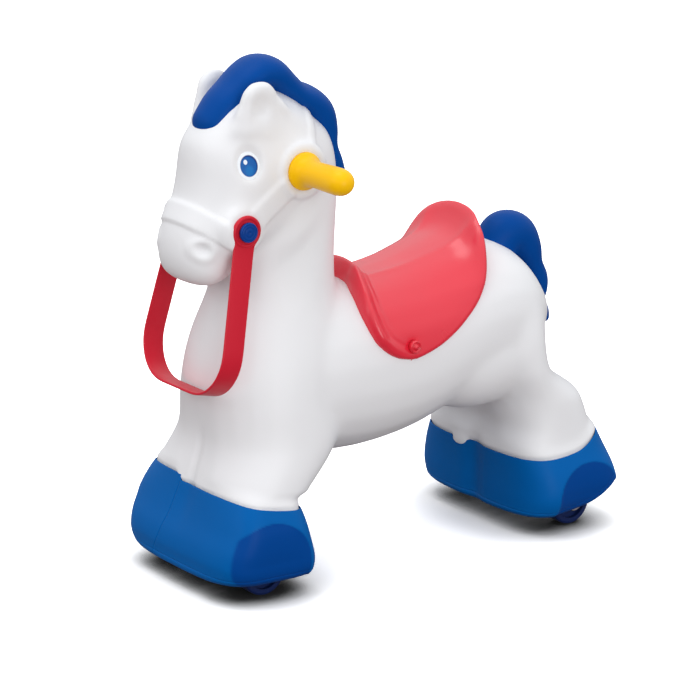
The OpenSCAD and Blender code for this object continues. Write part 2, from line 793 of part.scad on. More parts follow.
// A shoe without its rim cut: walls, a deck for the foot, ribs under it and pads for the screws
module shoe_blank(rows, axle_x) {
    inside = shoe_rows(rows, shoe_wall);
    mouth = inside[0] - [0, 2, 0, 0, 0, 0, 0];
    big = 2 * wheelbase;
    difference() {
        union() {
            difference() {
                loft(rows, 1);
                intersection() {
                    loft(concat([mouth], inside), 1);
                    translate([-big / 2, -big / 2, deck_low - big]) cube(big);
                }
            }
            intersection() {
                loft(rows, 1);
                for (k = [-2:2]) difference() {
                    translate([-big / 2, k * rib_pitch - rib_t / 2, sole_z + 6])
                        cube([big, rib_t, deck_low - sole_z - 5]);
                    hull() for (z = [wheel_r, 0])
                        cross_bar(axle_x, z, axle_r + 2, k * rib_pitch - rib_t, k * rib_pitch + rib_t, 24);
                }
            }
            shoe_screw_places(axle_x) hull() {
                translate([0, 0, bracket_top]) cylinder(r = screw_pad_r, h = pad_t, $fn = 12);
                translate([0, 0, deck_low]) cylinder(r = screw_pad_r + 1.5, h = 0.5, $fn = 12);
            }
        }
        intersection() {
            loft(inside, 1);
            translate([-big / 2, -big / 2, foot_z]) cube(big);
        }
        shoe_screw_places(axle_x) translate([0, 0, bracket_top - 1])
            cylinder(r = screw_r + fit_gap, h = 20, $fn = 12);
        for (y = [-wheel_y, wheel_y])
            cross_bar(axle_x, wheel_r, wheel_r + wheel_room, y - wheel_w / 2 - 2,
                      y + wheel_w / 2 + 2, coarse_sides);
    }
}

module front_shoe() {
    color("royalblue") intersection() {
        shoe_blank(front_shoe_rows, front_axle_x);
        below_front_rim(0, 0);
    }
}

module rear_shoe() {
    color("royalblue") difference() {
        intersection() {
            shoe_blank(rear_shoe_rows, rear_axle_x);
            below_rim(rear_rim, 0);
        }
        lug();
        below_rim(rear_sole, 0);
    }
}

module front_left_bracket() { bracket(front_axle_x, -wheel_y); }
module front_right_bracket() { bracket(front_axle_x, wheel_y); }
module rear_left_bracket() { bracket(rear_axle_x, -wheel_y); }
module rear_right_bracket() { bracket(rear_axle_x, wheel_y); }
module front_axle() { axle(front_axle_x); }
module rear_axle() { axle(rear_axle_x); }
module front_axle_caps() { axle_caps(front_axle_x); }
module rear_axle_caps() { axle_caps(rear_axle_x); }
module front_left_wheel() { wheel(front_axle_x, -wheel_y); }
module front_right_wheel() { wheel(front_axle_x, wheel_y); }
module rear_left_wheel() { wheel(rear_axle_x, -wheel_y); }
module rear_right_wheel() { wheel(rear_axle_x, wheel_y); }
module front_shoe_screws() { shoe_screws(front_axle_x); }
module rear_shoe_screws() { shoe_screws(rear_axle_x); }

// Every piece is placed so that the whole is centred between the ends of the two shoes
centre_x = -(front_shoe_x - front_shoe_len / 2 + rear_shoe_x + rear_shoe_len / 2) / 2;

module placed() {
    translate([centre_x, 0, 0]) children();
}

placed() horse_body();
placed() mane();
placed() tail();
placed() saddle();
placed() saddle_stud_left();
placed() saddle_stud_right();
placed() left_eye();
placed() right_eye();
placed() handle_bar();
placed() left_grip();
placed() right_grip();
placed() rein_strap();
placed() left_rein_stud();
placed() right_rein_stud();
placed() front_shoe();
placed() rear_shoe();
placed() front_left_bracket();
placed() front_right_bracket();
placed() rear_left_bracket();
placed() rear_right_bracket();
placed() front_axle();
placed() rear_axle();
placed() front_axle_caps();
placed() rear_axle_caps();
placed() front_left_wheel();
placed() front_right_wheel();
placed() rear_left_wheel();
placed() rear_right_wheel();
placed() front_shoe_screws();
placed() rear_shoe_screws();
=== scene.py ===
import json
import math

import bmesh
import bpy
import numpy as np
from mathutils import Matrix, Vector
from mathutils.bvhtree import BVHTree

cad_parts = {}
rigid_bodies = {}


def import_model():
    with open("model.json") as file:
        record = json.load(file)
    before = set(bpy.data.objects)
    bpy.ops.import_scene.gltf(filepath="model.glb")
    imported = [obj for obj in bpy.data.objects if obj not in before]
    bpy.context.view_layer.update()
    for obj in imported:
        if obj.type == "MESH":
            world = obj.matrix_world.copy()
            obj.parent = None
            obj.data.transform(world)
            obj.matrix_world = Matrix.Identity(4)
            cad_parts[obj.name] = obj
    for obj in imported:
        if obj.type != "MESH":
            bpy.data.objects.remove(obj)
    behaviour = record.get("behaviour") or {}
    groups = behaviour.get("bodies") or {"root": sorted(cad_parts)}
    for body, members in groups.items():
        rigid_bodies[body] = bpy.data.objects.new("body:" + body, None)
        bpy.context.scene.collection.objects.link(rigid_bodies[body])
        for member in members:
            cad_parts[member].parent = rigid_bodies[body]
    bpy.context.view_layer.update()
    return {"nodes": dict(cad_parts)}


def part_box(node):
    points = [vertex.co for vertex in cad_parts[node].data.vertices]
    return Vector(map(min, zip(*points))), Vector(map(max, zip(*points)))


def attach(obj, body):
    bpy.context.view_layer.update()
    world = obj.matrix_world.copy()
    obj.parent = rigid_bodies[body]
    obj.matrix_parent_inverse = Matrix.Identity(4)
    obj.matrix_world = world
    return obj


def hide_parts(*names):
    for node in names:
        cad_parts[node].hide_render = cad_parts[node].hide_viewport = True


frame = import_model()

nodes = frame["nodes"]
mm = 0.001  # lengths of the pieces are in millimetres, of camera and lamps in metres
sides = ((-1, "left"), (1, "right"))


def boxMiddle(name):
    low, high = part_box(name)
    return (Vector(low) + Vector(high)) / 2


def sided(name, side):
    return name + ("Left" if side < 0 else "Right")


def newObject(name, points, faces, smooth=True):
    mesh = bpy.data.meshes.new(name)
    mesh.from_pydata([tuple(p) for p in points], [], faces)
    mesh.update()
    obj = bpy.data.objects.new(name, mesh)
    bpy.context.scene.collection.objects.link(obj)
    if smooth:
        mesh.polygons.foreach_set("use_smooth", [True] * len(mesh.polygons))
    return obj


def tidyNormals(obj, merge=1e-6):
    work = bmesh.new()
    work.from_mesh(obj.data)
    bmesh.ops.remove_doubles(work, verts=work.verts, dist=merge)
    bmesh.ops.recalc_face_normals(work, faces=work.faces)
    work.to_mesh(obj.data)
    work.free()
    obj.data.update()


def cadCopy(name, newName):
    mesh = nodes[name].data.copy()
    mesh.materials.clear()
    obj = bpy.data.objects.new(newName, mesh)
    bpy.context.scene.collection.objects.link(obj)
    work = bmesh.new()
    work.from_mesh(mesh)
    bmesh.ops.remove_doubles(work, verts=work.verts, dist=1e-5)
    work.to_mesh(mesh)
    work.free()
    return obj


def voxelSkin(obj, voxel):
    bpy.context.view_layer.objects.active = obj
    obj.data.remesh_voxel_size = voxel
    obj.data.remesh_voxel_adaptivity = 0
    bpy.ops.object.voxel_remesh()
    obj.data.polygons.foreach_set("use_smooth", [True] * len(obj.data.polygons))


def readPoints(obj):
    flat = np.empty(len(obj.data.vertices) * 3)
    obj.data.vertices.foreach_get("co", flat)
    return flat.reshape(-1, 3)


def writePoints(obj, points):
    obj.data.vertices.foreach_set("co", points.ravel())
    obj.data.update()


def readNormals(obj):
    flat = np.empty(len(obj.data.vertices) * 3, dtype=np.float32)
    obj.data.vertex_normals.foreach_get("vector", flat)
    return flat.reshape(-1, 3).astype(float)


def readEdges(obj):
    flat = np.empty(len(obj.data.edges) * 2, dtype=np.int32)
    obj.data.edges.foreach_get("vertices", flat)
    return flat.reshape(-1, 2)


def relax(points, edges, rounds, weight):
    first, second = edges[:, 0], edges[:, 1]
    count = len(points)
    degree = np.maximum(np.bincount(edges.ravel(), minlength=count), 1)
    for _ in range(rounds):
        near = np.stack([
            np.bincount(first, points[second, axis], count)
            + np.bincount(second, points[first, axis], count)
            for axis in range(3)], 1) / degree[:, None]
        points = points + weight[:, None] * (near - points)
    return points


def ramp(value, low, high):  # 0 below low, 1 above high, smooth between
    t = np.clip((value - low) / (high - low), 0, 1)
    return t * t * (3 - 2 * t)


def hump(distance, radius):  # 1 in the middle, 0 from radius on
    t = np.clip(np.abs(distance) / radius, 0, 1)
    return (1 - t * t) ** 2


def smoothRows(rows, steps):  # a smooth curve through the rows of a table
    rows = np.array(rows, float)
    last = len(rows) - 1
    out = []
    for k in range(last * steps + 1):
        i = min(k // steps, last - 1)
        t = k / steps - i
        before, this, after = rows[max(i - 1, 0)], rows[i], rows[i + 1]
        beyond = rows[min(i + 2, last)]
        out.append(0.5 * (2 * this + (after - before) * t
                          + (2 * before - 5 * this + 4 * after - beyond) * t * t
                          + (3 * this - before - 3 * after + beyond) * t ** 3))
    return np.array(out)


def circle(count):  # (cosine, sine) at even steps once round
    turns = [2 * math.pi * k / count for k in range(count)]
    return [(math.cos(turn), math.sin(turn)) for turn in turns]


def runLength(line):  # distance along a line of points, from its start
    return np.concatenate([[0], np.cumsum(np.linalg.norm(np.diff(line, axis=0), axis=1))])


def gridFaces(rows, columns, closed=False, flip=False):
    faces = []
    for i in range(rows - 1):
        here, above = i * columns, (i + 1) * columns
        for j in range(columns if closed else columns - 1):
            k = (j + 1) % columns
            face = (here + j, here + k, above + k, above + j)
            faces.append(face[::-1] if flip else face)
    return faces


def ballPoints(rings, columns):  # a closed ball of radius 1, its faces looking outwards
    points = [(0, 0, 1)]
    for i in range(1, rings):
        wide, high = math.sin(math.pi * i / rings), math.cos(math.pi * i / rings)
        points += [(wide * cos, wide * sin, high) for cos, sin in circle(columns)]
    points.append((0, 0, -1))
    last = len(points) - 1
    faces = [(0, 1 + k, 1 + (k + 1) % columns) for k in range(columns)]
    faces += [tuple(n + 1 for n in face)
              for face in gridFaces(rings - 1, columns, closed=True, flip=True)]
    faces += [(last, last - columns + (k + 1) % columns, last - columns + k)
              for k in range(columns)]
    return np.array(points), faces


def turned(name, side, profile, middle, segments=96):
    # turned about y; the profile is (radius, distance outwards), from its outer pole inwards
    out = Vector((0, side, 0))
    across = out.orthogonal().normalized()
    up = out.cross(across)
    points = [Vector(middle) + out * (away * mm) + (across * cos + up * sin) * (radius * mm)
              for radius, away in profile for cos, sin in circle(segments)]
    faces = gridFaces(len(profile), segments, closed=True)
    obj = newObject(sided(name, side), points, faces)
    tidyNormals(obj, 1e-7)
    return obj


def finish(obj, material, slot, body, *replaced):
    obj.data.materials.clear()
    obj.data.materials.append(material)
    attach(obj, body)
    if replaced:
        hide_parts(*replaced)
    return obj


def paintNode(name, material):
    for slot in nodes[name].material_slots:
        slot.material = material


# in the calls below a node's settings are in lower case, and its sockets begin with a capital
# and have _ for a space
def setSocket(tree, socket, value):
    if isinstance(value, bpy.types.NodeSocket):
        tree.links.new(value, socket)
    else:
        socket.default_value = (*value, 1) if socket.type == "RGBA" else value


def setNode(tree, node, **values):
    for key, value in values.items():
        if key[0].islower():
            setattr(node, key, value)
        else:
            setSocket(tree, node.inputs[key.replace("_", " ")], value)
    return node


def addNode(tree, kind, **values):
    return setNode(tree, tree.nodes.new(kind), **values)


def mixColors(tree, share, under, over):
    mix = addNode(tree, "ShaderNodeMix", data_type="RGBA")
    for index, value in ((0, share), (6, under), (7, over)):
        setSocket(tree, mix.inputs[index], value)
    return mix.outputs[2]


def mixShaders(tree, share, under, over):
    mix = tree.nodes.new("ShaderNodeMixShader")
    for index, value in enumerate((share, under, over)):
        tree.links.new(value, mix.inputs[index])
    return mix.outputs[0]


def newMaterial(name, **sockets):
    material = bpy.data.materials.new(name)
    material.use_nodes = True
    tree = material.node_tree
    return material, tree, setNode(tree, tree.nodes["Principled BSDF"], **sockets)


plastic = {
    "cloudScale": 14, "glossSpread": 0.05,           # the wall is a little uneven
    "grainSize": 1.1, "grainHigh": 0.3,              # the mould's fine grain
}


def mouldedPlastic(name, color, roughness, shade=0.05, grain=0.08, **sockets):
    material, tree, shader = newMaterial(name, Base_Color=color, Roughness=roughness, **sockets)
    place = addNode(tree, "ShaderNodeTexCoord").outputs["Object"]
    cloud = addNode(tree, "ShaderNodeTexNoise", Vector=place, Scale=plastic["cloudScale"], Detail=2)
    cloud = cloud.outputs["Fac"]
    tint = mixColors(tree, cloud, [c * (1 - shade) for c in color],
                     [min(c * (1 + shade), 1) for c in color])
    gloss = addNode(tree, "ShaderNodeMapRange", Value=cloud,
                    To_Min=roughness - plastic["glossSpread"],
                    To_Max=roughness + plastic["glossSpread"])
    speck = addNode(tree, "ShaderNodeTexNoise", Vector=place,
                    Scale=1 / (plastic["grainSize"] * mm), Detail=3)
    bump = addNode(tree, "ShaderNodeBump", Height=speck.outputs["Fac"], Strength=grain,
                   Distance=plastic["grainHigh"] * mm)
    setNode(tree, shader, Base_Color=tint, Roughness=gloss.outputs["Result"],
            Normal=bump.outputs["Normal"])
    return material


steel = {
    "color": (0.62, 0.62, 0.64), "roughness": 0.3,
    "streaks": (900, 25, 900), "streakDeep": 0.15, "streakHigh": 0.2,
}


def brushedSteel(name):
    material, tree, shader = newMaterial(name, Base_Color=steel["color"],
                                         Roughness=steel["roughness"], Metallic=1)
    place = addNode(tree, "ShaderNodeTexCoord").outputs["Object"]
    stretch = addNode(tree, "ShaderNodeMapping", Vector=place, Scale=steel["streaks"])
    streak = addNode(tree, "ShaderNodeTexNoise", Vector=stretch.outputs["Vector"], Scale=1,
                     Detail=2)
    bump = addNode(tree, "ShaderNodeBump", Height=streak.outputs["Fac"],
                   Strength=steel["streakDeep"], Distance=steel["streakHigh"] * mm)
    setNode(tree, shader, Normal=bump.outputs["Normal"])
    return material


bodyWhite = mouldedPlastic("bodyWhite", (0.82, 0.825, 0.845), 0.45, shade=0.01,
                           Specular_IOR_Level=0.3)
hairBlue = mouldedPlastic("hairBlue", (0.0, 0.058, 0.29), 0.42, Specular_IOR_Level=0.06)
shoeBlue = mouldedPlastic("shoeBlue", (0.0, 0.112, 0.4), 0.42, Specular_IOR_Level=0.06)
saddleRed = mouldedPlastic("saddleRed", (0.74, 0.016, 0.04), 0.26, grain=0.04,
                           Specular_IOR_Level=0.6)
reinRed = mouldedPlastic("reinRed", (0.6, 0.01, 0.03), 0.38, Specular_IOR_Level=0.25)
gripYellow = mouldedPlastic("gripYellow", (1.0, 0.54, 0.0), 0.36, Specular_IOR_Level=0.18)
studBlue = mouldedPlastic("studBlue", (0.0, 0.045, 0.27), 0.4, Specular_IOR_Level=0.15)
wheelBlue = mouldedPlastic("wheelBlue", (0.004, 0.016, 0.09), 0.45, Specular_IOR_Level=0.3)
bracketBlack = mouldedPlastic("bracketBlack", (0.02, 0.02, 0.022), 0.45)
plainSteel = brushedSteel("plainSteel")


eyeLook = {
    "under": (0.8, 0.82, 0.86), "white": (0.9, 0.95, 1.0),
    # colour, middle, half sizes and soft edge of each oval on the label's own map
    "ovals": [
        [(0.0, 0.03, 0.19), (0.03, 0.03), (0.745, 0.745), 0.05],      # the iris's dark edge
        [(0.0, 0.105, 0.4), (-0.02, -0.03), (0.69, 0.69), 0.06],
        [(0.0, 0.16, 0.5), (0.02, -0.3), (0.34, 0.34), 0.5],          # its lighter lower part
        [(0.85, 0.92, 1.0), (-0.25, 0.3), (0.16, 0.17), 0.15]],       # the highlight
}


def eyeLabel(name):
    material, tree, shader = newMaterial(name, Base_Color=eyeLook["under"], Roughness=0.3,
                                         Specular_IOR_Level=0.15)
    place = addNode(tree, "ShaderNodeUVMap", uv_map="label").outputs["UV"]
    color = eyeLook["white"]
    for over, (x, y), (halfX, halfY), edge in eyeLook["ovals"]:
        shift = addNode(tree, "ShaderNodeMapping", Vector=place,
                        Location=(-x / halfX, -y / halfY, 0), Scale=(1 / halfX, 1 / halfY, 1))
        far = addNode(tree, "ShaderNodeVectorMath", operation="LENGTH",
                      Vector=shift.outputs["Vector"])
        ease = addNode(tree, "ShaderNodeMapRange", interpolation_type="SMOOTHSTEP",
                       Value=far.outputs["Value"], From_Min=1 - edge, From_Max=1 + edge,
                       To_Min=1, To_Max=0)
        color = mixColors(tree, ease.outputs["Result"], color, over)
    setNode(tree, shader, Base_Color=color)
    return material


eyeFace = eyeLabel("eyeFace")
print("materials are made")


body = {
    "voxel": 2.65,
    "meltRounds": 26, "melt": 0.62,        # melts the flat facets and the seams of the forms
    "bossKept": 0.93, "earKept": 0.8,      # the share of it that bosses and ears are spared
    "studGuard": 29.7, "gripGuard": 36.3,  # how far out from the stud and the handle
    "regain": 0.9,                         # what melting takes off the walls
    "hockIn": 7, "hockZ": 198, "hockHalf": 56, "hockX": (145, 185),  # drawn in above the leg
    # swells: distance from the axle, side, height, radius
    "earRidge": [[33, 39, 510, 7.5], [41, 39, 501, 8], [49, 39, 492, 8.5], [57, 38, 485, 8.5],
                 [66, 37, 478, 9]],
    "haunch": [[-118, 33, 197, 54], [-98, 33, 199, 56], [-80, 32, 203, 55], [-66, 29, 206, 48]],
}

frontAxle = boxMiddle("front_axle").x / mm
rearAxle = boxMiddle("rear_axle").x / mm
gripAt = boxMiddle("handle_bar")
studAt = boxMiddle("left_rein_stud")
eyeAt = boxMiddle("left_eye")

shoeFit = {
    "width": 237, "soleZ": 20, "wall": 3, "lip": 0.9, "deckLow": 66, "deckTop": 70,
    "panelStep": 6.5, "panelY": 17, "lugAhead": 40, "waistHalf": 14,
    "ribThick": 2.4, "ribPitch": 22, "ribCount": 5, "ribHigh": 67,
}
# rows: height above the sole, then how far the front, the rear and the sides stay back,
# the squareness and the waist; rims and soles: distance from the axle, height
# dome: middle, where it narrows, half length, rise; lug: middle, half width, drop;
# ribs: front, rear, lowest
shoes = {
    "front": {
        "node": "front_shoe", "axle": frontAxle, "middle": -0.5, "length": 121, "rimZ": 98,
        "rows": [
            [0, 2, 1.5, 9, 3.2, 0], [5, 0.5, 0.5, 4, 3.6, 0], [12, 0.5, 2, 1, 4, 0],
            [22, 0, 2, 0, 4, 0], [36, 3, 5.5, 1, 4, 0], [53, 10, 9.5, 5, 4, 1],
            [67, 15, 13, 11, 4, 2], [79, 19, 16.5, 16.5, 3.6, 2], [92, 23, 19, 23, 3, 2],
            [104, 25, 21, 26, 2.8, 2]],
        "rim": [[-75, 14], [-43, 8], [-25, 3.5], [0, -1.5], [25, -5.5], [50, -9.5], [80, -13]],
        "sole": [[-90, 0], [90, 0]],
        "dome": (-9, 43, 46, 43), "lug": None, "ribs": (-50, 49, 31),
    },
    "rear": {
        "node": "rear_shoe", "axle": rearAxle, "middle": -10, "length": 130, "rimZ": 90,
        "rows": [
            [0, 3.5, 10, 16, 3.6, 3], [5, 0, 4, 8.5, 4.2, 4], [12, 0, 1, 3, 4.2, 5],
            [22, 0, -1, 0, 4.2, 5], [34, 0.5, -1, 0.5, 4.2, 5], [50, 0.5, 3, 5, 4.2, 5],
            [68, -0.5, 9, 12.5, 4, 5], [80, -1, 14, 16.5, 4, 5], [94, -1.5, 20, 19, 3.8, 5]],
        "rim": [[-90, -4.5], [-73, -4], [-40, -3], [-12, 0], [3, 5], [18, 12.5], [36, 19],
                [70, 27]],
        "sole": [[-90, 0], [-50, 0], [-34, 0.4], [-18, 2.5], [-5, 5.5], [8, 10], [20, 16.5],
                 [32, 24], [44, 32], [70, 50]],
        "dome": (0, 43, 42, 35), "lug": (24, 16, 6), "ribs": (-64, 24, 40),
    },
}


def ovalReach(turns, halfX, halfY, square):  # from the middle of a squarish oval to its edge
    return ((np.abs(np.cos(turns)) / halfX) ** square
            + (np.abs(np.sin(turns)) / halfY) ** square) ** (-1 / square)


def shoeSection(shoe, z):  # middle, half length, half width, squareness and waist at a height
    table = smoothRows(shoe["rows"], 12)
    heights = table[:, 0] + shoeFit["soleZ"]
    front, rear, side, square, waist = [np.interp(z, heights, table[:, k]) for k in range(1, 6)]
    low = shoe["axle"] + shoe["middle"] - shoe["length"] / 2 + front
    high = shoe["axle"] + shoe["middle"] + shoe["length"] / 2 - rear
    return (low + high) / 2, (high - low) / 2, shoeFit["width"] / 2 - side, square, waist


def waistIn(waist, y):  # how far the front end draws in, most in the middle
    return waist * np.exp(-(y / shoeFit["waistHalf"]) ** 2)


def alongAxle(shoe, line, x):
    table = smoothRows(shoe[line], 8)
    return np.interp(x - shoe["axle"], table[:, 0], table[:, 1])


def rimHeight(shoe, x, y):
    z = shoe["rimZ"] + alongAxle(shoe, "rim", x)
    if shoe["lug"]:
        at, half, drop = shoe["lug"]
        z = z - drop * hump(y - at, half) * (x < shoe["axle"] - shoeFit["lugAhead"])
    else:
        step = ramp(y, shoeFit["panelY"] - 0.4, shoeFit["panelY"] + 0.4)
        z = z + shoeFit["panelStep"] * step * (x < shoe["axle"])
    return z


tuck = {
    "rimInset": 2.4, "deepInset": 5.2,     # under the rim, and further down
    "lugOut": 2.2, "fade": (4, 17),        # heights over the rim where the fit ends
    "reach": 85,
}


def tuckIntoShoe(points, shoe):
    # the leg meets the shoe's rim all round and runs on just inside its wall
    x, y, z = points.T / mm
    middle, halfX, halfY, square, waist = shoeSection(shoe, z)
    over = z - (shoe["rimZ"] + alongAxle(shoe, "rim", x))
    if shoe["lug"] is None:
        step = ramp(y, shoeFit["panelY"] - 2, shoeFit["panelY"] + 14)
        over = over - shoeFit["panelStep"] * step * (x < shoe["axle"])
    inset = tuck["rimInset"] * (1 - ramp(over, 0.2, 3.6))
    inset = inset + tuck["deepInset"] * (1 - ramp(over, -10, -3))
    if shoe["lug"]:
        at, half, _ = shoe["lug"]
        onLug = (hump(np.hypot(y - at, (over + 1) * 1.4), half)
                 * (x < shoe["axle"] - shoeFit["lugAhead"]))
        inset = inset * (1 - np.clip(onLug * 2.5, 0, 1)) - tuck["lugOut"] * onLug
    away = x - middle - np.where(x < middle, waistIn(waist, y), 0)
    far = ((np.abs(away) / (halfX - inset)) ** square
           + (np.abs(y) / (halfY - inset)) ** square) ** (1 / square)
    near = ((np.abs(x - shoe["axle"]) < tuck["reach"]) & (z > shoeFit["soleZ"])
            & (over < tuck["fade"][1] + 1) & (far > 0.5))
    weight = near * (1 - ramp(over, *tuck["fade"]))
    scale = 1 + weight * (1 / np.maximum(far, 0.1) - 1)
    fitted = points.copy()
    fitted[:, 0] = (x + away * (scale - 1)) * mm
    fitted[:, 1] = y * scale * mm
    return fitted


def addSwells(skin):  # the rear rim of each ear runs down to the crown; the haunches are full
    points, faces = ballPoints(14, 24)
    work = bmesh.new()
    work.from_mesh(skin.data)
    for name, axle in (("earRidge", frontAxle), ("haunch", rearAxle)):
        for x, y, z, radius in smoothRows(body[name], 4):
            for side, _ in sides:
                where = points * radius + [axle + x, side * y, z]
                made = [work.verts.new(p * mm) for p in where]
                for face in faces:
                    work.faces.new([made[k] for k in face])
    work.to_mesh(skin.data)
    work.free()


def farFrom(place, x, z):
    return np.hypot(x - place.x / mm, z - place.z / mm)


def shapeBody():
    skin = cadCopy("horse_body", "horseSkin")
    addSwells(skin)
    voxelSkin(skin, body["voxel"] * mm)
    points, edges = readPoints(skin), readEdges(skin)

    # the bosses and the ears stay crisp
    x, y, z = points.T / mm
    side = np.abs(y)
    onBoss = np.maximum(hump(farFrom(studAt, x, z), body["studGuard"]),
                        hump(farFrom(gripAt, x, z), body["gripGuard"])) * ramp(side, 45, 52)
    onEar = ramp(z, 484, 494) * ramp(side, 22, 30) * hump(x - frontAxle - 24, 50)
    melt = (body["melt"] * (1 - body["bossKept"] * np.clip(onBoss * 2.2, 0, 1))
            * (1 - body["earKept"] * np.clip(onEar * 2, 0, 1)))
    points = relax(points, edges, body["meltRounds"], melt)
    writePoints(skin, points)
    normals = readNormals(skin)
    points += normals * (body["regain"] * mm * (1 - onBoss))[:, None]
    x, _, z = points.T / mm
    aboveHock = hump(z - body["hockZ"], body["hockHalf"]) * ramp(x, *body["hockX"])
    points -= normals * (body["hockIn"] * mm * aboveHock * (normals[:, 0] > -0.3))[:, None]
    points = tuckIntoShoe(tuckIntoShoe(points, shoes["front"]), shoes["rear"])
    writePoints(skin, points)

    points += readNormals(skin) * (reliefOf(points) * mm)[:, None]
    writePoints(skin, relax(points, edges, 1, np.full(len(points), 0.2)))
    return skin


relief = {
    # sloping lines: height, where, slope, and the share of a height that is distance
    "noseTop": (391, -224, -0.78, 0.79), "noseLow": (361.5, -221, -0.69, 0.82),
    "noseRise": 2.4, "strapHalf": 12.5, "strapRise": 2.1,
    "ringRadius": 30, "ringRise": 2.2,
    "crownX": -118, "crownZ": 455, "crownLean": 0.42, "crownHalf": 6.5, "crownRise": 1.6,
    "eyeSeat": (15, 18.5), "eyeDeep": 2.6,
    "nostril": (-241, 360, 8.5, 9), "nostrilRise": 1.8,
    "nostrilHole": (-242, 361.5, 6, 6), "nostrilDeep": 4.2,
    "jawX": [-182, -173, -160, -137, -108, -95], "jawZ": [322, 334, 349, 360, 381, 392],
    "throatDeep": 4.5, "grooveDeep": 2.5,
}


def aboveLine(x, z, line):
    height, at, slope, share = line
    return (z - (height + slope * (x - at))) * share


def inOval(x, z, oval):  # 0 in the middle, 1 on the line
    return np.hypot((x - oval[0]) / oval[2], (z - oval[1]) / oval[3])


def reliefOf(points):  # how far the skin rises at each point
    x, y, z = points.T / mm
    side = np.abs(y)
    cheek = ramp(side, 30, 40)
    fromGrip = farFrom(gripAt, x, z)
    x = x - 1  # the relief sits 1 mm further back than its tables

    # noseband: between a soft upper edge and a crisp lower one
    over = aboveLine(x, z, relief["noseTop"])
    under = aboveLine(x, z, relief["noseLow"])
    band = ramp(-over, -1.5, 3.5) * ramp(under, -0.4, 1.8) * ramp(-x, 208, 216)
    rise = relief["noseRise"] * band * ramp(z, 300, 315)

    # cheek strap from the stud to the handle
    run = np.array([gripAt.x - studAt.x, gripAt.z - studAt.z]) / mm
    length = np.hypot(*run)
    dx, dz = run / length
    fromX, fromZ = x - studAt.x / mm, z - studAt.z / mm
    t, across = fromX * dx + fromZ * dz, fromZ * dx - fromX * dz
    half = relief["strapHalf"]
    strap = ramp(half - across, -1.5, 3) * ramp(half + across, -0.4, 1.8)
    rise += relief["strapRise"] * strap * ramp(t, 12, 18) * ramp(length - t, 18, 26) * cheek

    # raised ring round the grip's foot, with a step down to the head
    ring = ramp(relief["ringRadius"] - fromGrip, -0.3, 2.6) * ramp(fromGrip, 17, 23) * cheek
    rise += relief["ringRise"] * ring

    # crown strap, from the handle up to the mane
    crownX = relief["crownX"] + (z - relief["crownZ"]) * relief["crownLean"]
    crown = ramp(relief["crownHalf"] - np.abs(x - crownX), -1.5, 3) * ramp(z, 452, 458)
    rise += relief["crownRise"] * crown * ramp(495 - z, 0, 8) * ramp(fromGrip, 26, 31)

    # eye seat and nostril
    seat = inOval(x, z, (eyeAt.x / mm, eyeAt.z / mm + 1, *relief["eyeSeat"]))
    rise -= relief["eyeDeep"] * (1 - ramp(seat, 0.55, 1.15)) * ramp(side, 30, 38)
    flare, hole = inOval(x, z, relief["nostril"]), inOval(x, z, relief["nostrilHole"])
    nostril = relief["nostrilRise"] * hump(flare - 0.95, 0.8)
    rise += (nostril - relief["nostrilDeep"] * hump(hole, 1.3)) * ramp(side, 18, 26)

    # the throat draws in under the jaw
    below = (np.interp(x, relief["jawX"], relief["jawZ"]) - z) * 0.8
    rise -= (relief["throatDeep"] * ramp(below, -7, 13) * (1 - ramp(below, 13, 60))
             * hump(x + 142, 50) * ramp(side, 20, 38))

    # the moulded groove between the front legs
    groove = hump(side, 9) * ramp(-x, 205, 212) * ramp(180 - z, 0, 60)
    return rise - relief["grooveDeep"] * groove


horseSkin = finish(shapeBody(), bodyWhite, "body_shell", "horse", "horse_body")
print("body:", len(horseSkin.data.polygons), "faces")


# mane and tail: distance from the axle, height, half thickness, half width
hair = {
    "voxel": 1.8 * mm, "eggsPerGap": 7, "meltRounds": 8,
    "mane": [
        [-8, 480, 17, 23], [4, 496, 16, 25], [19, 508, 16, 27], [33, 520, 16, 28],
        [47, 526, 17, 29], [61, 523, 17, 30], [75, 511, 15.5, 29], [89, 499.5, 14.5, 29],
        [104, 490, 17, 30], [116, 478, 18, 30], [123, 461, 15, 28], [126, 442, 12, 26],
        [132, 424, 13, 26], [138, 408, 11, 23], [142, 394, 6, 12]],
    "tail": [
        [-48, 298, 26, 23], [-37, 315, 24, 26], [-21, 314, 22, 26], [-9, 298, 18, 24],
        [-1, 279, 13, 20], [7, 262, 13, 19], [10, 248, 10, 17], [10, 236, 7, 14],
        [16, 224, 8, 13], [21, 213, 6, 9]],
}


def hairRoll(name, rows, axle):
    points, faces = ballPoints(18, 30)
    eggs = [points * [thick, half, thick] + [axle + x, 0, z]
            for x, z, thick, half in smoothRows(rows, hair["eggsPerGap"])]
    every = [tuple(k + i * len(points) for k in face) for i in range(len(eggs)) for face in faces]
    roll = newObject(name, np.concatenate(eggs) * mm, every)
    voxelSkin(roll, hair["voxel"])
    points = readPoints(roll)
    points = relax(points, readEdges(roll), hair["meltRounds"], np.full(len(points), 0.6))
    writePoints(roll, points)
    return roll


finish(hairRoll("maneRoll", hair["mane"], frontAxle), hairBlue, "hair", "horse", "mane")
finish(hairRoll("tailRoll", hair["tail"], rearAxle), hairBlue, "hair", "horse", "tail")
print("mane and tail are rolled")


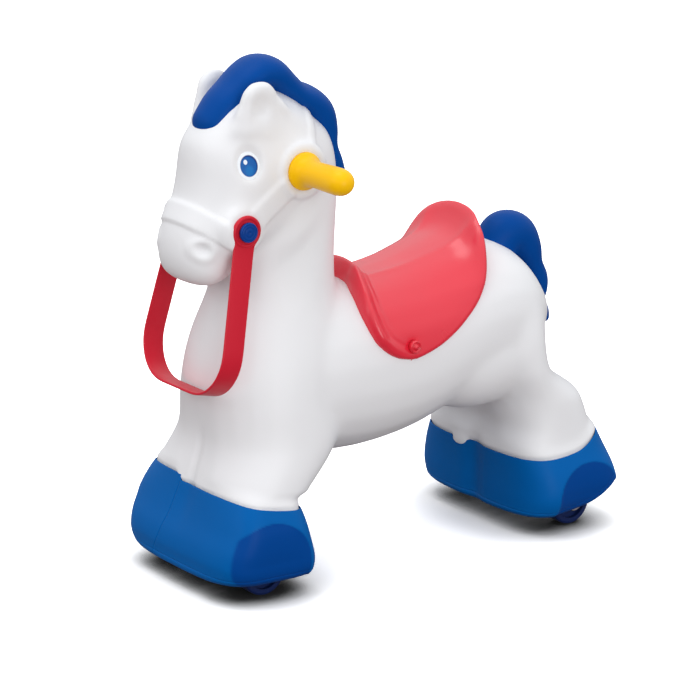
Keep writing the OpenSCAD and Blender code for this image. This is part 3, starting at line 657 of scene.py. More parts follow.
saddle = {
    # angle from the top, front end, rear end
    "rows": [
        [0, -57, 107], [7, -57.5, 106], [13, -58.5, 103.5], [18, -61, 99.5], [24.5, -64.5, 96.5],
        [32.5, -67.3, 92], [40, -69.2, 87], [47, -69.7, 79], [54.5, -68, 67], [60.5, -65.5, 54.3],
        [66, -61.8, 42], [71.3, -54.7, 28], [75.3, -47, 15], [78.5, -37.6, 0.5],
        [80.1, -28, -9], [80.9, -21, -15]],
    "shift": 3, "rowSteps": 8, "cuts": 120, "axisZ": 209, "castFrom": 250, "radius": 90,
    "thick": 4.2, "edgeRound": 4.5, "sunk": 2,
    # angle from the top, rise of the rear rim above the back
    "rim": [
        [0, 37.6], [7, 37.3], [13, 35.6], [18, 32.7], [23.5, 28.2], [27.5, 23], [32.5, 16],
        [37.3, 10], [41, 6.3], [48, 2], [55, 0], [95, 0]],
    # distance from the rear rim, share of that rise
    "scoop": [
        [0, 1], [3, 0.985], [8, 0.86], [14, 0.62], [21, 0.42], [30, 0.3], [42, 0.245],
        [60, 0.2], [83, 0.15], [107, 0.09], [140, 0.03], [170, 0]],
    "pommel": 13, "pommelAt": 8, "pommelReach": 19,
    "lipRise": 3.6, "lipAt": 6.5, "lipHalf": 7.5, "channel": 1.3, "channelAt": 17,
    "channelHalf": 4, "lipEnds": (60, 80),
}


def seatRise(angle, toFront, toRear):
    rim, scoop = np.array(saddle["rim"]), smoothRows(saddle["scoop"], 6)
    height = np.interp(np.abs(angle), rim[:, 0], rim[:, 1])
    edge = 0.75 + 0.25 * np.sqrt(1 - (1 - np.clip(toRear / 5, 0, 1)) ** 2)
    fore = np.sqrt(1 - (1 - np.clip(toFront / 9, 0, 1)) ** 2)
    overTop = np.cos(np.radians(angle * 1.1)) ** 2
    return (height * np.interp(toRear, scoop[:, 0], scoop[:, 1]) * edge
            + saddle["pommel"] * overTop * fore
            * hump(toFront - saddle["pommelAt"], saddle["pommelReach"]))


def saddleSeat(x, angle):  # where each point of the saddle lies on the skin, and its way out
    tree = BVHTree.FromObject(horseSkin, bpy.context.evaluated_depsgraph_get())
    count, cuts = x.shape
    seat = np.zeros((count, cuts, 3))
    for i in range(count):
        turn = math.radians(angle[i, 0])
        ray = Vector((0, math.sin(turn), math.cos(turn)))
        for j in range(cuts):
            start = Vector(((x[i, j] + saddle["shift"]) * mm, 0, saddle["axisZ"] * mm))
            seat[i, j] = tree.ray_cast(start + ray * (saddle["castFrom"] * mm), -ray)[0]
    for _ in range(6):  # evens out the skin's own grain
        seat[1:-1, 1:-1] = (seat[1:-1, 1:-1] * 2 + seat[:-2, 1:-1] + seat[2:, 1:-1]
                            + seat[1:-1, :-2] + seat[1:-1, 2:]) / 6
    out = np.cross(np.gradient(seat, axis=1), np.gradient(seat, axis=0))
    out /= np.linalg.norm(out, axis=2, keepdims=True)
    return seat, out if out[count // 2, cuts // 2, 2] > 0 else -out


def saddleShell():
    half = smoothRows(saddle["rows"], saddle["rowSteps"])
    table = np.concatenate([half[:0:-1] * [-1, 1, 1], half])
    count, cuts = len(table), saddle["cuts"] + 1
    ease = (1 - np.cos(np.pi * np.arange(cuts) / saddle["cuts"])) / 2  # closer at both ends
    angle = np.repeat(table[:, :1], cuts, 1)
    front, rear = table[:, 1:2], table[:, 2:3]
    x = front + (rear - front) * ease
    seat, out = saddleSeat(x, angle)

    # distances from the edges
    reach = saddle["radius"] * np.radians(np.abs(table[:, 0]))
    stepDown = np.maximum(np.abs(np.gradient(reach)), 1e-3)
    frontSlope = np.abs(np.gradient(table[:, 1]) / stepDown)[:, None]
    rearSlope = np.abs(np.gradient(table[:, 2]) / stepDown)[:, None]
    frontSlope[count // 2] = rearSlope[count // 2] = 0
    toFront = (x - front) / np.sqrt(1 + frontSlope ** 2)
    toRear = (rear - x) / np.sqrt(1 + rearSlope ** 2)
    lowest = saddle["radius"] * np.radians(saddle["rows"][-1][0])
    toLow = (lowest - reach)[:, None] + 0 * x
    edge = np.minimum(np.minimum(toFront, toRear), toLow)

    rounding = 1 - np.clip(edge / saddle["edgeRound"], 0, 1)
    thick = saddle["thick"] * np.sqrt(np.clip(1 - rounding ** 2, 0, 1))
    lip = saddle["lipRise"] * hump(toFront - saddle["lipAt"], saddle["lipHalf"])
    lip = lip - saddle["channel"] * hump(toFront - saddle["channelAt"], saddle["channelHalf"])
    thick = thick + lip * (1 - ramp(np.abs(angle), *saddle["lipEnds"]))
    rays = np.stack([0 * x, np.sin(np.radians(angle)), np.cos(np.radians(angle))], 2)
    rise = seatRise(angle, toFront, toRear)
    outer = seat + out * (thick * mm)[..., None] + rays * (rise * mm)[..., None]
    for _ in range(3):
        outer[1:-1, 2:-2] = (outer[1:-1, 2:-2] * 2 + outer[:-2, 2:-2] + outer[2:, 2:-2]) / 4
    inner = seat - out * saddle["sunk"] * mm
    points = np.concatenate([outer.reshape(-1, 3), inner.reshape(-1, 3)])
    faces = gridFaces(count, cuts)
    total = count * cuts
    faces += [tuple(total + k for k in face[::-1]) for face in gridFaces(count, cuts)]
    rim = ([i * cuts for i in range(count)]
           + [(count - 1) * cuts + j for j in range(1, cuts)]
           + [i * cuts + cuts - 1 for i in range(count - 2, -1, -1)]
           + [j for j in range(cuts - 2, 0, -1)])
    faces += [(a, b, b + total, a + total) for a, b in zip(rim, rim[1:] + rim[:1])]
    shell = newObject("saddleShell", points, faces)
    tidyNormals(shell)
    return shell


finish(saddleShell(), saddleRed, "saddle", "horse", "saddle")

saddleStud = {
    "scale": 0.82, "sunk": 1.6, "shift": 1,
    "profile": [
        (0, 3.1), (1.6, 2.9), (2.9, 2.2), (3.7, 1.2), (4.1, 0.5), (5.0, 0.2), (5.6, 0.5),
        (6.2, 1.2), (6.8, 1.4), (7.5, 1.1), (8.1, 0.3), (8.4, -0.8), (8.5, -4), (0, -4)],
}


def addSaddleStud(side, node):
    at = boxMiddle(node)
    low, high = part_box(node)
    faceY = max(abs(low[1]), abs(high[1])) - saddleStud["sunk"] * mm
    shift = saddleStud["shift"] * mm
    profile = [(radius * saddleStud["scale"], away) for radius, away in saddleStud["profile"]]
    stud = turned("saddleStud", side, profile, (at.x + shift, side * faceY, at.z + shift))
    finish(stud, saddleRed, "saddle_studs", "horse", node)


for side, hand in sides:
    addSaddleStud(side, "saddle_stud_" + hand)
print("saddle is fitted")


grip = {
    # radius, distance from the boss
    "profile": [
        (0, 80), (3.5, 79.5), (7, 78), (10, 75.3), (12.3, 71.5), (13.6, 67), (14, 62),
        (13.95, 55), (13.75, 46), (13.5, 36), (13.3, 27), (13.35, 20), (13.8, 15), (14.8, 11.5),
        (16.4, 8.6), (18.3, 6.4), (19.3, 4.6), (19.6, 2.8), (19.4, 1.2), (18.8, 0.2),
        (17.5, -1.5), (0, -1.5)],
}


def addGrip(side, node):
    low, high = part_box(node)
    bossY = min(abs(low[1]), abs(high[1]))
    fine = smoothRows(grip["profile"][:-2], 4)
    profile = [(max(radius, 0), away) for radius, away in fine] + grip["profile"][-2:]
    piece = turned("grip", side, profile, (gripAt.x, side * bossY, gripAt.z))
    finish(piece, gripYellow, "grips", "horse", node)


for side, hand in sides:
    addGrip(side, hand + "_grip")
print("grips are turned")


eye = {
    "half": (11.8, 14.2), "rearward": 2, "lower": 2.2,
    "dome": 1.3, "sunk": 0.3, "edgeDown": 1.2, "backIn": 3,
    "rings": 26, "segments": 72,
    "spokes": 48, "spokeStops": (1.1, 1.3, 1.5), "castFrom": 120,   # where the skin is felt
}


def skinRoundEye(side, at):  # a curved patch through the skin just outside the label
    tree = BVHTree.FromObject(horseSkin, bpy.context.evaluated_depsgraph_get())
    halfX, halfZ = eye["half"]
    samples = []
    for cos, sin in circle(eye["spokes"]):
        for far in eye["spokeStops"]:
            start = (at.x + cos * far * halfX * mm, side * eye["castFrom"] * mm,
                     at.z + sin * far * halfZ * mm)
            hit = tree.ray_cast(start, (0, -side, 0))[0]
            if hit:
                samples.append(hit)
    samples = np.array(samples)
    u, v = (samples[:, 0] - at.x) / mm, (samples[:, 2] - at.z) / mm
    terms = np.stack([np.ones_like(u), u, v, u * u, u * v, v * v], 1)
    return np.linalg.lstsq(terms, samples[:, 1] * side / mm, rcond=None)[0]


def addEye(side, node):
    at = Vector((eyeAt.x + eye["rearward"] * mm, side * abs(eyeAt.y), eyeAt.z - eye["lower"] * mm))
    fit = skinRoundEye(side, at)
    rings, segments = eye["rings"], eye["segments"]
    points, marks = [], []
    for i in range(rings + 1):
        far = i / rings
        rise = eye["dome"] * (1 - far ** 2.4) - eye["sunk"] - eye["edgeDown"] * (i == rings)
        for cos, sin in circle(segments):
            u, v = cos * far * eye["half"][0], sin * far * eye["half"][1]
            skinY = fit @ [1, u, v, u * u, u * v, v * v]
            points.append((at.x + u * mm, side * (skinY + rise) * mm, at.z + v * mm))
            marks.append((cos * far, sin * far))
    back, last = len(points), rings * segments
    points.append((at.x, side * (fit[0] - eye["backIn"]) * mm, at.z))
    marks.append((0, 0))
    faces = gridFaces(rings + 1, segments, closed=True)
    faces += [(last + k, last + (k + 1) % segments, back) for k in range(segments)]
    label = newObject(sided("eyeLabel", side), points, faces)
    layer = label.data.uv_layers.new(name="label")
    for loop in label.data.loops:
        layer.data[loop.index].uv = marks[loop.vertex_index]
    tidyNormals(label, 1e-7)
    finish(label, eyeFace, "eye_label", "horse", node)


for side, hand in sides:
    addEye(side, hand + "_eye")
print("eyes are set")


rein = {
    "lean": 12.5, "inside": 58.3, "thick": 2.5, "width": 24, "eye": 33, "drop": 174,
    "lowSpread": 15, "corner": 46, "edge": 0.8, "step": 2.5, "smoothing": 14,
    # the raised ring of each eye: radius, distance from the head
    "ring": [(0, 1.4), (11.6, 1.4), (12.2, 2.2), (13, 3.6), (14.6, 3.85), (15.8, 3.4),
             (16.5, 2.4), (16.6, 1.2), (16.3, 0.1), (15, 0), (0, 0)],
}


def reinPath():  # the strap's middle line from one stud down and round to the other
    middle = rein["inside"] + rein["thick"] / 2
    radius = rein["corner"] - rein["thick"] / 2
    lowY = middle + rein["lowSpread"]
    cornerY, cornerZ = lowY - radius, rein["corner"] - rein["drop"]
    half = [(middle, rein["eye"] / 2), (middle, -rein["eye"] / 2), (lowY, cornerZ)]
    for k in range(1, 19):
        turn = math.radians(-5 * k)
        half.append((cornerY + radius * math.cos(turn), cornerZ + radius * math.sin(turn)))
    line = np.array(half + [(-y, z) for y, z in half[::-1]])
    gaps = runLength(line)
    at = np.linspace(0, gaps[-1], int(gaps[-1] / rein["step"]) + 1)
    line = np.stack([np.interp(at, gaps, line[:, 0]), np.interp(at, gaps, line[:, 1])], 1)
    for _ in range(rein["smoothing"]):
        line[1:-1] = (line[1:-1] * 2 + line[:-2] + line[2:]) / 4
    return line, at


def reinStrap():
    line, at = reinPath()
    total, eyeRadius, halfWidth = at[-1], rein["eye"] / 2, rein["width"] / 2
    quarter = np.linspace(0, math.pi / 2, 9)[1:-1]
    extra = eyeRadius * (1 - np.cos(quarter))  # closer at the round ends
    places = np.unique(np.concatenate([at, extra, total - extra]))
    line = np.stack([np.interp(places, at, line[:, 0]), np.interp(places, at, line[:, 1])], 1)
    tangent = np.gradient(line, places, axis=0)
    tangent /= np.linalg.norm(tangent, axis=1, keepdims=True)
    normal = np.stack([-tangent[:, 1], tangent[:, 0]], 1)  # towards the outside of the loop
    fromEnd = np.minimum(places, total - places)
    endHalf = np.sqrt(np.clip(eyeRadius ** 2 - (fromEnd - eyeRadius) ** 2, 0.01, None))
    joined = (endHalf ** 9 + halfWidth ** 9) ** (1 / 9)
    width = np.where(fromEnd < eyeRadius, endHalf, joined)

    corner, thick = rein["edge"], rein["thick"] / 2
    section = []
    for cornerX, cornerY, start in ((1, 1, 0), (-1, 1, 90), (-1, -1, 180), (1, -1, 270)):
        for k in range(5):
            turn = math.radians(start + 22.5 * k)
            section.append((cornerX, cornerY, corner * math.cos(turn), corner * math.sin(turn)))
    points = []
    for place, out, half in zip(line, normal, width):
        for cornerX, cornerY, du, dv in section:
            u = cornerX * max(half - corner, 0.05) + du * min(1, half / 2)
            v = cornerY * (thick - corner) + dv
            points.append((u, place[0] + out[0] * v, place[1] + out[1] * v))
    faces = gridFaces(len(places), len(section), closed=True)
    faces += [tuple(range(len(section))), tuple(range(len(points) - len(section), len(points)))]
    for side, _ in sides:
        base = len(points)
        points += [(radius * cos, side * (rein["inside"] + away), radius * sin)
                   for radius, away in rein["ring"] for cos, sin in circle(72)]
        faces += [tuple(base + n for n in face)
                  for face in gridFaces(len(rein["ring"]), 72, closed=True)]
    lean = Matrix.Rotation(math.radians(rein["lean"]), 3, "Y")
    hang = Vector((studAt.x, 0, studAt.z))
    strap = newObject("reinStrap", [hang + lean @ (Vector(p) * mm) for p in points], faces)
    tidyNormals(strap)
    return strap


reinStud = {
    "out": 0.7,
    "profile": [
        (0, -0.7), (0.7, -0.6), (1.2, -0.15), (1.8, 0), (4.6, 0), (4.9, -0.25), (5.3, -0.25),
        (5.6, 0), (7.5, 0), (7.9, -0.45), (8.4, -0.45), (8.8, 0), (9.4, -0.1), (9.9, -0.6),
        (10.2, -1.4), (10.2, -3.4), (5, -3.6), (5, -24), (0, -24)],
}


def addReinStud(side, node):
    low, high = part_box(node)
    top = max(abs(low[1]), abs(high[1]))
    profile = [(radius, away + reinStud["out"]) for radius, away in reinStud["profile"]]
    stud = turned("reinStud", side, profile, (studAt.x, side * top, studAt.z))
    finish(stud, studBlue, "rein_studs", "horse", node)


finish(reinStrap(), reinRed, "rein", "rein", "rein_strap")
for side, hand in sides:
    addReinStud(side, hand + "_rein_stud")
print("rein hangs on its studs")


shoeForm = {
    "columnStep": 2.2,
    # rings: heights above the sole and below the rim, and the count between them
    "lowLevels": [0, 0.35, 0.9, 1.7, 2.8, 4, 5.5, 7, 7.8, 8.2, 8.6, 9, 9.4, 10.2],
    "highLevels": [3.6, 2.4, 1.5, 0.9, 0.45, 0.15, 0], "between": 42,
    "lowRound": 2.6, "highRound": 1.2, "highInset": 0.45,
    "soleLine": 1, "soleLineAt": 8.2, "seamDeep": 0.7, "grooveHalf": (0.9, 0.8),
    "seam": [[20, 43.8], [45, 30], [68, 22.5], [107, 17]],   # height, distance from the middle
    # the domes' colour is painted shade, a darker blue standing in for the shade on their flat
    # faces
    "domeDeep": 8, "domeShadeColor": (0, 0.058, 0.29),
}


def seamAt(z):
    table = np.array(shoeForm["seam"])
    return np.interp(z, table[:, 0], table[:, 1])


def shoeColumns(shoe):  # directions round the shoe, evenly spaced along its outline
    _, halfX, halfY, square, _ = shoeSection(shoe, 50)
    turns = np.linspace(-math.pi, math.pi, 4001)
    far = ovalReach(turns, halfX, halfY, square)
    gaps = runLength(np.stack([far * np.cos(turns), far * np.sin(turns)], 1))
    count = int(gaps[-1] / shoeForm["columnStep"])
    columns = np.interp(np.linspace(0, gaps[-1], count, endpoint=False), gaps, turns)
    if shoe["lug"] is None:  # more columns where the panel steps up
        seamTurn = math.atan2(shoeFit["panelY"], -halfX)
        near = [seamTurn + s * d / halfX for d in (0.3, 0.6, 1, 1.6) for s in (-1, 1)] + [seamTurn]
        columns = np.concatenate([columns[np.abs(columns - seamTurn) > 2 / halfX], near])
    return np.sort(columns)


def shoeOutside(shoe, columns, z, inset):
    # points in the given directions at heights z (one for each direction), `inset` inside
    middle, halfX, halfY, square, waist = shoeSection(shoe, z)
    turns = columns
    if shoe["lug"] is None:  # the seam leans outwards towards the sole
        start = math.atan2(shoeFit["panelY"], -60)
        turns = turns + (np.arctan2(seamAt(z), -halfX) - start) * hump(turns - start, 0.55)
    far = ovalReach(turns, halfX - inset, halfY - inset, square)
    x, y = far * np.cos(turns), far * np.sin(turns)
    return middle + x + np.where(x < 0, waistIn(waist, y), 0), y


def shapedOutside(shoe, columns, z, inset, over):
    # the same with the seam, the line over the sole and the flat domes on both sides
    x, y = shoeOutside(shoe, columns, z, inset)
    middle = shoeSection(shoe, z)[0]
    soleHalf, seamHalf = shoeForm["grooveHalf"]
    deep = shoeForm["soleLine"] * hump(over - shoeForm["soleLineAt"], soleHalf)
    if shoe["lug"] is None:
        deep = deep + shoeForm["seamDeep"] * hump(y - seamAt(z), seamHalf) * (x < middle)
    x = x - deep * (x - middle) / np.hypot(x - middle, y)
    y = y - deep * y / np.hypot(x - middle, y)
    at, low, halfDome, tall = shoe["dome"]
    dx = (x - shoe["axle"] - at) / halfDome
    dz = np.maximum(z - low, 0) / tall
    dish = np.clip(1 - dx ** 2 - dz ** 2, 0, 1) ** 0.6 * (1 - 0.7 * np.clip(dz, 0, 1))
    dish = dish * (np.abs(y) > 60)
    return x, np.sign(y) * (np.abs(y) - shoeForm["domeDeep"] * dish)


def shoeShell(shoe, name):
    columns = shoeColumns(shoe)
    count = len(columns)
    rings = []

    def addRing(x, y, z):
        rings.append(np.stack([x, y, np.broadcast_to(z, x.shape)], 1))

    top = np.full(count, float(shoe["rimZ"]))
    low = np.full(count, float(shoeFit["soleZ"]))
    for _ in range(6):  # the rim's and the sole's heights depend on where they are
        top = rimHeight(shoe, *shoeOutside(shoe, columns, top, 0))
        lowX = shoeOutside(shoe, columns, low, 0)[0]
        low = shoeFit["soleZ"] + alongAxle(shoe, "sole", lowX)
    middle = shoe["axle"] + shoe["middle"]
    deck = np.full(count, float(shoeFit["deckTop"]))
    ceiling = np.full(count, float(shoeFit["deckLow"]))

    for size in (0.02, 0.4, 0.75):  # the deck under the foot
        x, y = shoeOutside(shoe, columns, deck, 8)
        addRing(middle + (x - middle) * size, y * size, shoeFit["deckTop"])
    x, y = shoeOutside(shoe, columns, top - 6, 9)
    addRing(x, y, np.minimum(top - 6, shoeFit["deckTop"] + 30))
    for down in (5, 2.5, 1, 0.4, 0.1):
        x, y = shoeOutside(shoe, columns, top - down, shoeFit["lip"] + 0.3 * (down < 0.3))
        addRing(x, y, top - down)

    for h in shoeForm["highLevels"][::-1]:
        bend = 1 - np.clip(h / shoeForm["highRound"], 0, 1)
        inset = shoeForm["highInset"] * bend ** 2
        addRing(*shapedOutside(shoe, columns, top - h, inset, top - h - low), top - h)
    highest, lowest = top - shoeForm["highLevels"][0], low + shoeForm["lowLevels"][-1]
    for t in np.linspace(1, 0, shoeForm["between"])[1:-1]:
        z = lowest * (1 - t) + highest * t
        addRing(*shapedOutside(shoe, columns, z, 0, z - low), z)
    for h in shoeForm["lowLevels"][::-1]:
        bend = 1 - np.clip(h / shoeForm["lowRound"], 0, 1)
        inset = shoeForm["lowRound"] * (1 - math.sqrt(1 - bend ** 2))
        addRing(*shapedOutside(shoe, columns, low + h, inset, h), low + h)

    for up in (0.1, 1.5, *range(7, 43, 5)):  # the wall's inner side and the ceiling
        z = np.minimum(low + up, ceiling - 0.5 + up / 100)
        inset = shoeFit["wall"] + (0.6 if up < 1 else 0)
        addRing(*shapedOutside(shoe, columns, z, inset, 30), z)
    for size in (1, 0.985, 0.6, 0.02):
        x, y = shapedOutside(shoe, columns, ceiling, shoeFit["wall"] + 0.5, 30)
        addRing(middle + (x - middle) * size, y * size, ceiling)
    points = np.concatenate(rings) * mm
    faces = gridFaces(len(rings), count, closed=True)
    faces += [tuple(range(count)), tuple(range(len(points) - count, len(points)))]
    shell = newObject(name, points, faces)
    tidyNormals(shell)

    # the domes are marked for their painted shade
    x, y, z = readPoints(shell).T / mm
    at, domeLow, halfDome, tall = shoe["dome"]
    inside = (1 - ((x - shoe["axle"] - at) / halfDome) ** 2
              - (np.maximum(z - domeLow, 0) / tall) ** 2)
    domeShadeMark = shell.data.attributes.new("paintedDomeShade", "FLOAT", "POINT")
    domeShadeMark.data.foreach_set("value", ramp(inside, 0, 0.06) * ramp(np.abs(y), 95, 99))
    return shell


def paintDomeShade(material):  # painted shade: the domes get a darker blue that stands in for the shade on them
    tree = material.node_tree
    shader = tree.nodes["Principled BSDF"]
    domeShadeMark = addNode(tree, "ShaderNodeAttribute", attribute_name="paintedDomeShade")
    plain = shader.inputs["Base Color"].links[0].from_socket
    setNode(tree, shader, Base_Color=mixColors(tree, domeShadeMark.outputs["Fac"], plain,
                                               shoeForm["domeShadeColor"]))


paintDomeShade(shoeBlue)


def newTree(name, **sockets):  # a tree with these inputs and one geometry output
    tree = bpy.data.node_groups.new(name, "GeometryNodeTree")
    for key, kind in sockets.items():
        tree.interface.new_socket(key.replace("_", " "), in_out="INPUT",
                                  socket_type="NodeSocket" + kind)
    tree.interface.new_socket("Geometry", in_out="OUTPUT", socket_type="NodeSocketGeometry")
    return tree, tree.nodes.new("NodeGroupInput").outputs


def endTree(tree, points, piece, material):  # one real copy at each point, in the material
    put = addNode(tree, "GeometryNodeInstanceOnPoints", Points=points, Instance=piece)
    real = addNode(tree, "GeometryNodeRealizeInstances", Geometry=put.outputs["Instances"])
    paint = addNode(tree, "GeometryNodeSetMaterial", Geometry=real.outputs["Geometry"],
                    Material=material)
    addNode(tree, "NodeGroupOutput", Geometry=paint.outputs["Geometry"])
    return tree


def joined(tree, *pieces):
    join = tree.nodes.new("GeometryNodeJoinGeometry")
    for piece in pieces:
        tree.links.new(piece, join.inputs["Geometry"])
    return join.outputs["Geometry"]


def times(tree, value, factor):
    product = addNode(tree, "ShaderNodeMath", operation="MULTIPLY", Value=value)
    product.inputs[1].default_value = factor
    return product.outputs[0]


def ribTree():  # plates in a row across the shoe, between the deck and the axle
    tree, given = newTree("shoeRibs", Count="Int", Pitch="Float", Plate="Vector",
                          Place="Vector", Material="Material")
    spread = addNode(tree, "ShaderNodeCombineXYZ", Y=given["Pitch"])
    line = addNode(tree, "GeometryNodeMeshLine", Count=given["Count"],
                   Start_Location=given["Place"], Offset=spread.outputs["Vector"])
    plate = addNode(tree, "GeometryNodeMeshCube", Size=given["Plate"])
    return endTree(tree, line.outputs["Mesh"], plate.outputs["Mesh"], given["Material"])


def screwTree():  # pan-head screws, head down, with a cross recess, one at each point
    tree, given = newTree("panScrews", Geometry="Geometry", Head_Radius="Float",
                          Head_Height="Float", Shank_Radius="Float", Shank_Length="Float",
                          Material="Material")
    head = addNode(tree, "GeometryNodeMeshCone", Vertices=40, Depth=given["Head Height"],
                   Radius_Bottom=given["Head Radius"],
                   Radius_Top=times(tree, given["Head Radius"], screw["taper"]))
    flip = addNode(tree, "GeometryNodeTransform", Geometry=head.outputs["Mesh"],
                   Rotation=(math.pi, 0, 0))
    long, narrow, deep = [size * mm for size in screw["recess"]]
    bars = [addNode(tree, "GeometryNodeMeshCube", Size=size).outputs["Mesh"]
            for size in ((long, narrow, deep), (narrow, long, deep))]
    carve = addNode(tree, "GeometryNodeMeshBoolean", operation="DIFFERENCE",
                    Mesh_1=flip.outputs["Geometry"], Mesh_2=joined(tree, *bars))
    shank = addNode(tree, "GeometryNodeMeshCylinder", Vertices=24,
                    Radius=given["Shank Radius"], Depth=given["Shank Length"])
    raised = addNode(tree, "ShaderNodeCombineXYZ", Z=times(tree, given["Shank Length"], 0.5))
    lift = addNode(tree, "GeometryNodeTransform", Geometry=shank.outputs["Mesh"],
                   Translation=raised.outputs["Vector"])
    whole = joined(tree, carve.outputs["Mesh"], lift.outputs["Geometry"])
    return endTree(tree, given["Geometry"], whole, given["Material"])


def bakeTree(obj, tree, values):
    # sets the tree's inputs by socket identifier and turns the result into a plain mesh
    modifier = obj.modifiers.new("build", "NODES")
    modifier.node_group = tree
    for socket in tree.interface.items_tree:
        if socket.in_out == "INPUT" and socket.name in values:
            modifier[socket.identifier] = values[socket.name]
    ready = obj.evaluated_get(bpy.context.evaluated_depsgraph_get())
    mesh = bpy.data.meshes.new_from_object(ready)
    obj.modifiers.clear()
    obj.data = mesh
    return obj


screw = {
    "headRadius": 4, "headHeight": 2.4, "taper": 0.82, "recess": (4.2, 0.9, 2.8),
    "shankRadius": 2, "shankLength": 22.8, "headUp": 1.2,
}
ribs, screws = ribTree(), screwTree()


def addRibs(end, shoe):
    plates = newObject(end + "ShoeRibs", [(0, 0, 0)], [])
    front, rear, low = shoe["ribs"]
    high, pitch = shoeFit["ribHigh"], shoeFit["ribPitch"]
    bakeTree(plates, ribs, {
        "Count": shoeFit["ribCount"], "Pitch": pitch * mm,
        "Plate": ((rear - front) * mm, shoeFit["ribThick"] * mm, (high - low) * mm),
        "Place": ((shoe["axle"] + (front + rear) / 2) * mm,
                  -(shoeFit["ribCount"] - 1) / 2 * pitch * mm, (low + high) / 2 * mm),
        "Material": shoeBlue})
    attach(plates, "horse")


def addScrews(end, node):
    low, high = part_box(node)
    reach = screw["headRadius"] * mm
    spots = [(x, y, low[2] + screw["headUp"] * mm) for x in (low[0] + reach, high[0] - reach)
             for y in (low[1] + reach, high[1] - reach)]
    pins = bakeTree(newObject(end + "ShoeScrews", spots, [], smooth=False), screws, {
        "Head Radius": reach, "Head Height": screw["headHeight"] * mm,
        "Shank Radius": screw["shankRadius"] * mm, "Shank Length": screw["shankLength"] * mm,
        "Material": plainSteel})
    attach(pins, "horse")
    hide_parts(node)


for end, shoe in shoes.items():
    finish(shoeShell(shoe, end + "Shoe"), shoeBlue, "shoes", "horse", shoe["node"])
    addRibs(end, shoe)
    addScrews(end, end + "_shoe_screws")
print("shoes are made")


# the nodes that keep their own shape
for end in ("front", "rear"):
    paintNode(end + "_axle", plainSteel)
    paintNode(end + "_axle_caps", plainSteel)
    for _, hand in sides:
        paintNode(end + "_" + hand + "_wheel", wheelBlue)
        paintNode(end + "_" + hand + "_bracket", bracketBlack)
paintNode("handle_bar", plainSteel)
print("the CAD nodes have their materials")


view = {
    "azimuth": math.radians(-35), "elevation": math.radians(15.5),
    "distance": 3.368, "target": Vector((-0.0345, 0, 0.216)),
    "lens": 3200 / 700 * 36, "filmWidth": 36, "seesTo": 50,
}

light = {
    "tint": (0.975, 0.985, 1), "horizon": 0.92, "zenith": 0.9,
    "glossHorizon": 0.5, "glossZenith": 2.0,
    "floorHalf": 6, "floorSeen": 2, "floorThrown": (0.26, 0.225, 0.215),
    # the floor's colour to the camera holds a painted shadow: ambient occlusion darkens it next to
    # the pieces
    "paintedShadowDark": 0.05, "paintedShadowReach": 0.075, "contactFrom": 0.3, "contactTo": 0.96,
    # place, height it aims at, size, watts
    "lamps": {"key": ((-0.6, 0.3, 2.7), 0.25, 1.5, 13), "side": ((-2.4, 0.3, 1.3), 0.3, 1.4, 6),
              "fill": ((-0.7, -2.7, 0.45), 0.25, 1.8, 26)},
}


def addCamera():
    data = bpy.data.cameras.new("camera")
    data.lens = view["lens"]
    data.sensor_width = view["filmWidth"]
    data.clip_end = view["seesTo"]
    camera = bpy.data.objects.new("camera", data)
    bpy.context.scene.collection.objects.link(camera)
    az, el = view["azimuth"], view["elevation"]
    out = Vector((math.sin(az) * math.cos(el), -math.cos(az) * math.cos(el), math.sin(el)))
    camera.location = view["target"] + out * view["distance"]
    camera.rotation_euler = (-out).to_track_quat("-Z", "Y").to_euler()
    bpy.context.scene.camera = camera


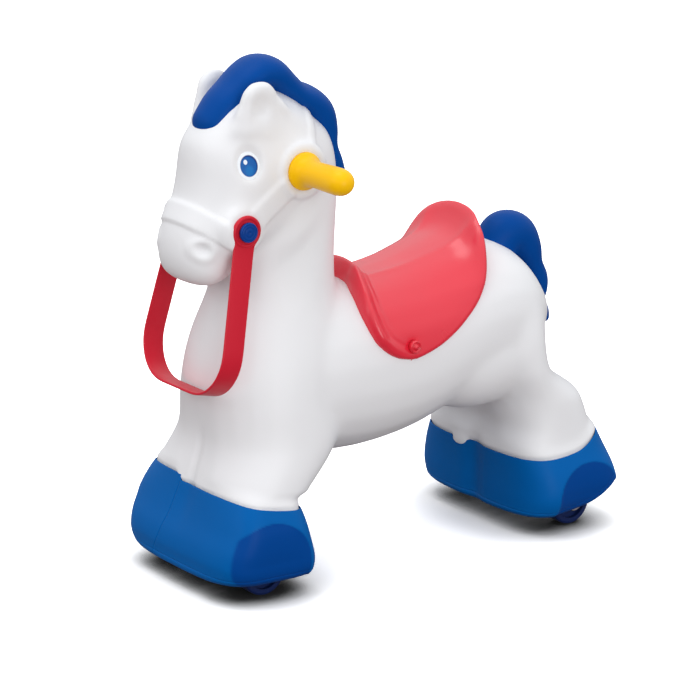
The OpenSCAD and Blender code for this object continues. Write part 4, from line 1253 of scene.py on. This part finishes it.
def addFloor():  # white to the camera, its real shadows deepened by a painted shadow from ambient occlusion; what it throws back at the horse is dimmer and warmer
    material, tree, shader = newMaterial("floorWhite")
    tree.nodes.remove(shader)
    # painted shadow: ambient occlusion darkens the floor's colour next to the pieces
    near = addNode(tree, "ShaderNodeAmbientOcclusion", samples=24, Distance=light["paintedShadowReach"])
    bright = addNode(tree, "ShaderNodeMapRange", Value=near.outputs["AO"],
                     From_Min=light["contactFrom"], From_Max=light["contactTo"],
                     To_Min=light["paintedShadowDark"], To_Max=light["floorSeen"])
    seen = addNode(tree, "ShaderNodeBsdfDiffuse", Color=bright.outputs["Result"])
    thrown = addNode(tree, "ShaderNodeBsdfDiffuse", Color=light["floorThrown"])
    path = addNode(tree, "ShaderNodeLightPath")
    shown = mixShaders(tree, path.outputs["Is Camera Ray"], thrown.outputs[0], seen.outputs[0])
    setNode(tree, tree.nodes["Material Output"], Surface=shown)
    half = light["floorHalf"]
    corners = [(-half, -half, 0), (half, -half, 0), (half, half, 0), (-half, half, 0)]
    floor = newObject("floor", corners, [(0, 1, 2, 3)])
    floor.data.materials.append(material)


def addLamp(name, place, aimZ, size, watts):
    data = bpy.data.lights.new(name, "AREA")
    data.shape = "DISK"
    data.size = size
    data.energy = watts
    lamp = bpy.data.objects.new(name, data)
    bpy.context.scene.collection.objects.link(lamp)
    lamp.location = place
    lamp.rotation_euler = (Vector((0, 0, aimZ)) - Vector(place)).to_track_quat("-Z", "Y").to_euler()


def addWorld():  # even for the walls, a bright ceiling in the gloss, plain white to the camera
    world = bpy.data.worlds.new("studio")
    bpy.context.scene.world = world
    world.use_nodes = True
    tree = world.node_tree
    place = addNode(tree, "ShaderNodeTexCoord")
    split = addNode(tree, "ShaderNodeSeparateXYZ", Vector=place.outputs["Generated"])
    path = addNode(tree, "ShaderNodeLightPath")

    def sky(low, high):
        height = addNode(tree, "ShaderNodeMapRange", Value=split.outputs["Z"], To_Min=low,
                         To_Max=high)
        return addNode(tree, "ShaderNodeBackground", Color=light["tint"],
                       Strength=height.outputs["Result"]).outputs[0]

    plain = setNode(tree, tree.nodes["Background"], Color=(1, 1, 1)).outputs[0]
    shown = mixShaders(tree, path.outputs["Is Glossy Ray"], sky(light["horizon"], light["zenith"]),
                       sky(light["glossHorizon"], light["glossZenith"]))
    shown = mixShaders(tree, path.outputs["Is Camera Ray"], shown, plain)
    setNode(tree, tree.nodes["World Output"], Surface=shown)


addCamera()
addFloor()
addWorld()
for name, values in light["lamps"].items():
    addLamp(name, *values)
bpy.context.scene.view_settings.view_transform = "Standard"
print("camera, floor and light are set")
